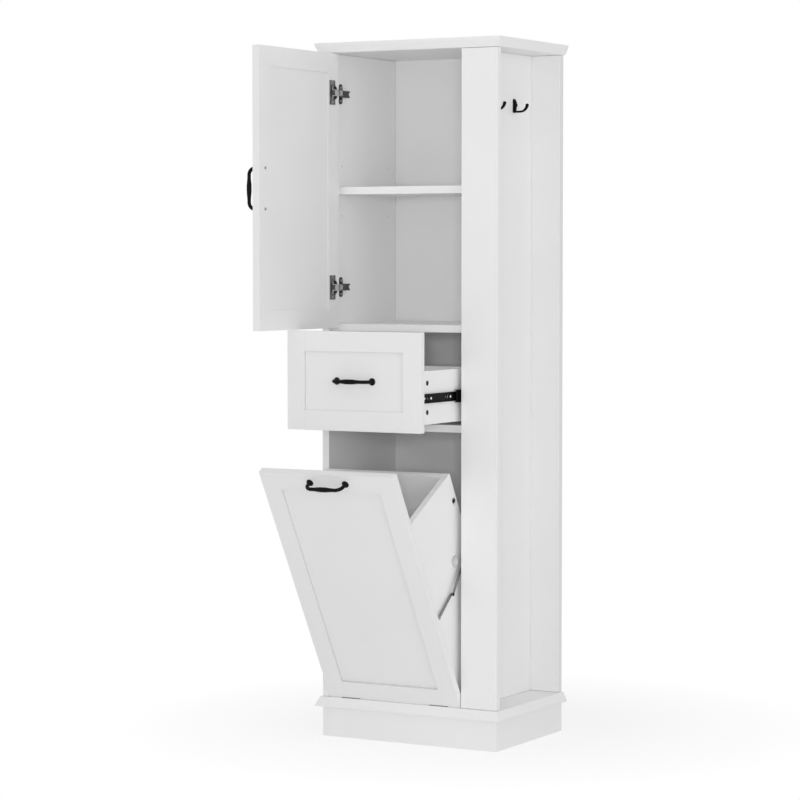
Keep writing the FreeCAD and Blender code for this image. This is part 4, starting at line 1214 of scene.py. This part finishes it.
@dataclass
class CamLocks:
    """The round connectors in the box sides. Their rim and cross are shares of the radius."""

    depth: float = 9.9
    sides: int = 36
    rim: float = 0.14
    rim_slope: float = 0.06
    sink: float = 0.5
    cross_reach: float = 1.15
    cross_width: float = 0.28
    cross_depth: float = 4.0
    edge: float = 0.1
    groups: tuple = (
        (Part.DRAWER, 6.0, (30.7, 373.3), ((51.5, 816.0), (51.5, 885.0))),
        (Part.HAMPER, 7.5, (32.0, 372.0), ((236.0, 536.0), (236.0, 241.0))),
    )

    def pattern(self, radius: float) -> Piece:
        """Build a connector whose face lies at z = 0.

        Args:
            radius: Its radius.

        Returns:
            The pattern.
        """
        piece = Piece.cylinder(radius, self.depth, self.sides, (0, 0, -self.depth))
        piece.pick_side(UP)
        bpy.ops.mesh.inset(thickness=radius * self.rim * MM, depth=0)
        bpy.ops.mesh.inset(thickness=radius * self.rim_slope * MM, depth=-self.sink * MM)
        piece.done()
        piece.cut_cross(radius * self.cross_reach, radius * self.cross_width, self.cross_depth, 0)
        piece.ease(self.edge)
        return piece

    def build(self) -> None:
        """Build the connectors of the drawer box and the hamper box."""
        for part, radius, faces, spots in self.groups:
            pattern = self.pattern(radius)
            piece = pattern.copies([part.at(x, y, z, way) for x, way in zip(faces, (LEFTWARD, RIGHTWARD))
                                    for y, z in spots])
            pattern.remove()
            body = part.body()
            piece.hand_over(f"{body}_cam_faces", "cam_plastic", body, f"{body}_cam_locks")


# Studio


@dataclass
class Studio:
    """The floor, the lamps, the world and the camera, in metres."""

    camera_place: tuple = (3.32694, -6.2775, 1.18854)
    camera_turn: float = 29.443
    camera_drop: float = 2.97
    lens: float = 127.05
    sensor: float = 36.0
    far: float = 100.0
    floor_size: float = 40.0
    floor_tone: float = 0.95
    ambient: float = 0.55
    shadow_share: float = 0.22
    shadow_fade: tuple = (0.35, 0.9)
    lamps: tuple = (
        ("KeyLamp", (5.5, -3.3, 1.7), (0, 0, 0.9), 2.6, 45),
        ("FrontLamp", (3.3, -6.25, 1.3), (0, 0, 0.9), 0.8, 90),
        ("TopLamp", (0.8, -2.6, 4.4), (0, 0, 0.5), 3.0, 9),
    )

    def seen(self, sheet: NodeSheet) -> Node:
        """Return a node that is 1 where the camera, a mirror or a glass looks.

        Args:
            sheet: The sheet of the material or the world.

        Returns:
            The node.
        """
        rays = sheet.add("ShaderNodeLightPath")
        first = sheet.add("ShaderNodeMath", operation="MAXIMUM")
        second = sheet.add("ShaderNodeMath", operation="MAXIMUM")
        sheet.wire((rays, "Is Camera Ray", first, 0), (rays, "Is Glossy Ray", first, 1),
                   (first, 0, second, 0), (rays, "Is Transmission Ray", second, 1))
        return second

    def floor(self) -> None:
        """Lay the white floor, which keeps a soft shadow near the object."""
        clear_bench()
        bpy.ops.mesh.primitive_grid_add(x_subdivisions=4, y_subdivisions=4, size=self.floor_size,
                                        location=(0, 0, 0))
        plane = bpy.context.object
        plane.name = "studio_floor"
        material, sheet, shader = open_material("StudioFloor")
        tone = self.floor_tone
        sheet.set(shader, Base_Color=(tone, tone, tone, 1.0), Roughness=0.9, Specular_IOR_Level=0.0)
        glow = sheet.add("ShaderNodeEmission", Color=(1.0, 1.0, 1.0, 1.0))
        mix = sheet.add("ShaderNodeMixShader")
        place = sheet.add("ShaderNodeTexCoord")
        reach = sheet.add("ShaderNodeVectorMath", operation="LENGTH")
        near, far = self.shadow_fade
        fade = sheet.add("ShaderNodeMapRange", From_Min=near, From_Max=far, To_Min=1.0 - self.shadow_share,
                         To_Max=1.0)
        factor = sheet.add("ShaderNodeMath", operation="MULTIPLY")
        sheet.wire((place, "Object", reach, 0), (reach, "Value", fade, "Value"), (fade, "Result", factor, 0),
                   (self.seen(sheet), 0, factor, 1), (factor, 0, mix, 0), (shader, 0, mix, 1),
                   (glow, 0, mix, 2), (mix, 0, material.node_tree.nodes["Material Output"], "Surface"))
        plane.data.materials.append(material)

    def world(self) -> None:
        """Light the studio evenly, with a white backdrop for the camera."""
        world = bpy.data.worlds.new("Studio")
        bpy.context.scene.world = world
        world.use_nodes = True
        sheet = NodeSheet(world.node_tree)
        white = (1.0, 1.0, 1.0, 1.0)
        ambient = sheet.set(world.node_tree.nodes["Background"], Color=white, Strength=self.ambient)
        backdrop = sheet.add("ShaderNodeBackground", Color=white, Strength=1.0)
        mix = sheet.add("ShaderNodeMixShader")
        sheet.wire((self.seen(sheet), 0, mix, 0), (ambient, 0, mix, 1), (backdrop, 0, mix, 2),
                   (mix, 0, world.node_tree.nodes["World Output"], "Surface"))

    def lamp(self, name: str, place: tuple, aim: tuple, size: float, power: float) -> None:
        """Add a soft area lamp.

        Args:
            name: The lamp's name.
            place: Where it hangs.
            aim: The point that it looks at.
            size: Its width.
            power: Its power in watts.
        """
        data = bpy.data.lights.new(name, "AREA")
        data.size = size
        data.energy = power
        lamp = bpy.data.objects.new(name, data)
        lamp.location = place
        lamp.rotation_euler = (Vector(aim) - Vector(place)).to_track_quat("-Z", "Y").to_euler()
        bpy.context.scene.collection.objects.link(lamp)

    def camera(self) -> None:
        """Set the camera at the photograph's viewing angle."""
        data = bpy.data.cameras.new("Camera")
        data.lens = self.lens
        data.sensor_width = self.sensor
        data.clip_end = self.far
        camera = bpy.data.objects.new("Camera", data)
        camera.location = self.camera_place
        camera.rotation_euler = (math.radians(90 - self.camera_drop), 0, math.radians(self.camera_turn))
        bpy.context.scene.collection.objects.link(camera)
        bpy.context.scene.camera = camera

    def build(self) -> None:
        """Set up the whole studio."""
        self.floor()
        self.world()
        for values in self.lamps:
            self.lamp(*values)
        self.camera()
        bpy.context.scene.view_settings.view_transform = "Standard"


def main() -> None:
    """Build the looks in order and report each piece."""
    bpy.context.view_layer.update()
    for assembly in (Boards(), MouldedBoards(), FrontEdges(), BowHandles(), RobeHooks(), Screws(),
                     CupHingeMounts(), SlideMembers(), CamLocks(), Studio()):
        assembly.build()


if __name__ == "__main__":
    main()
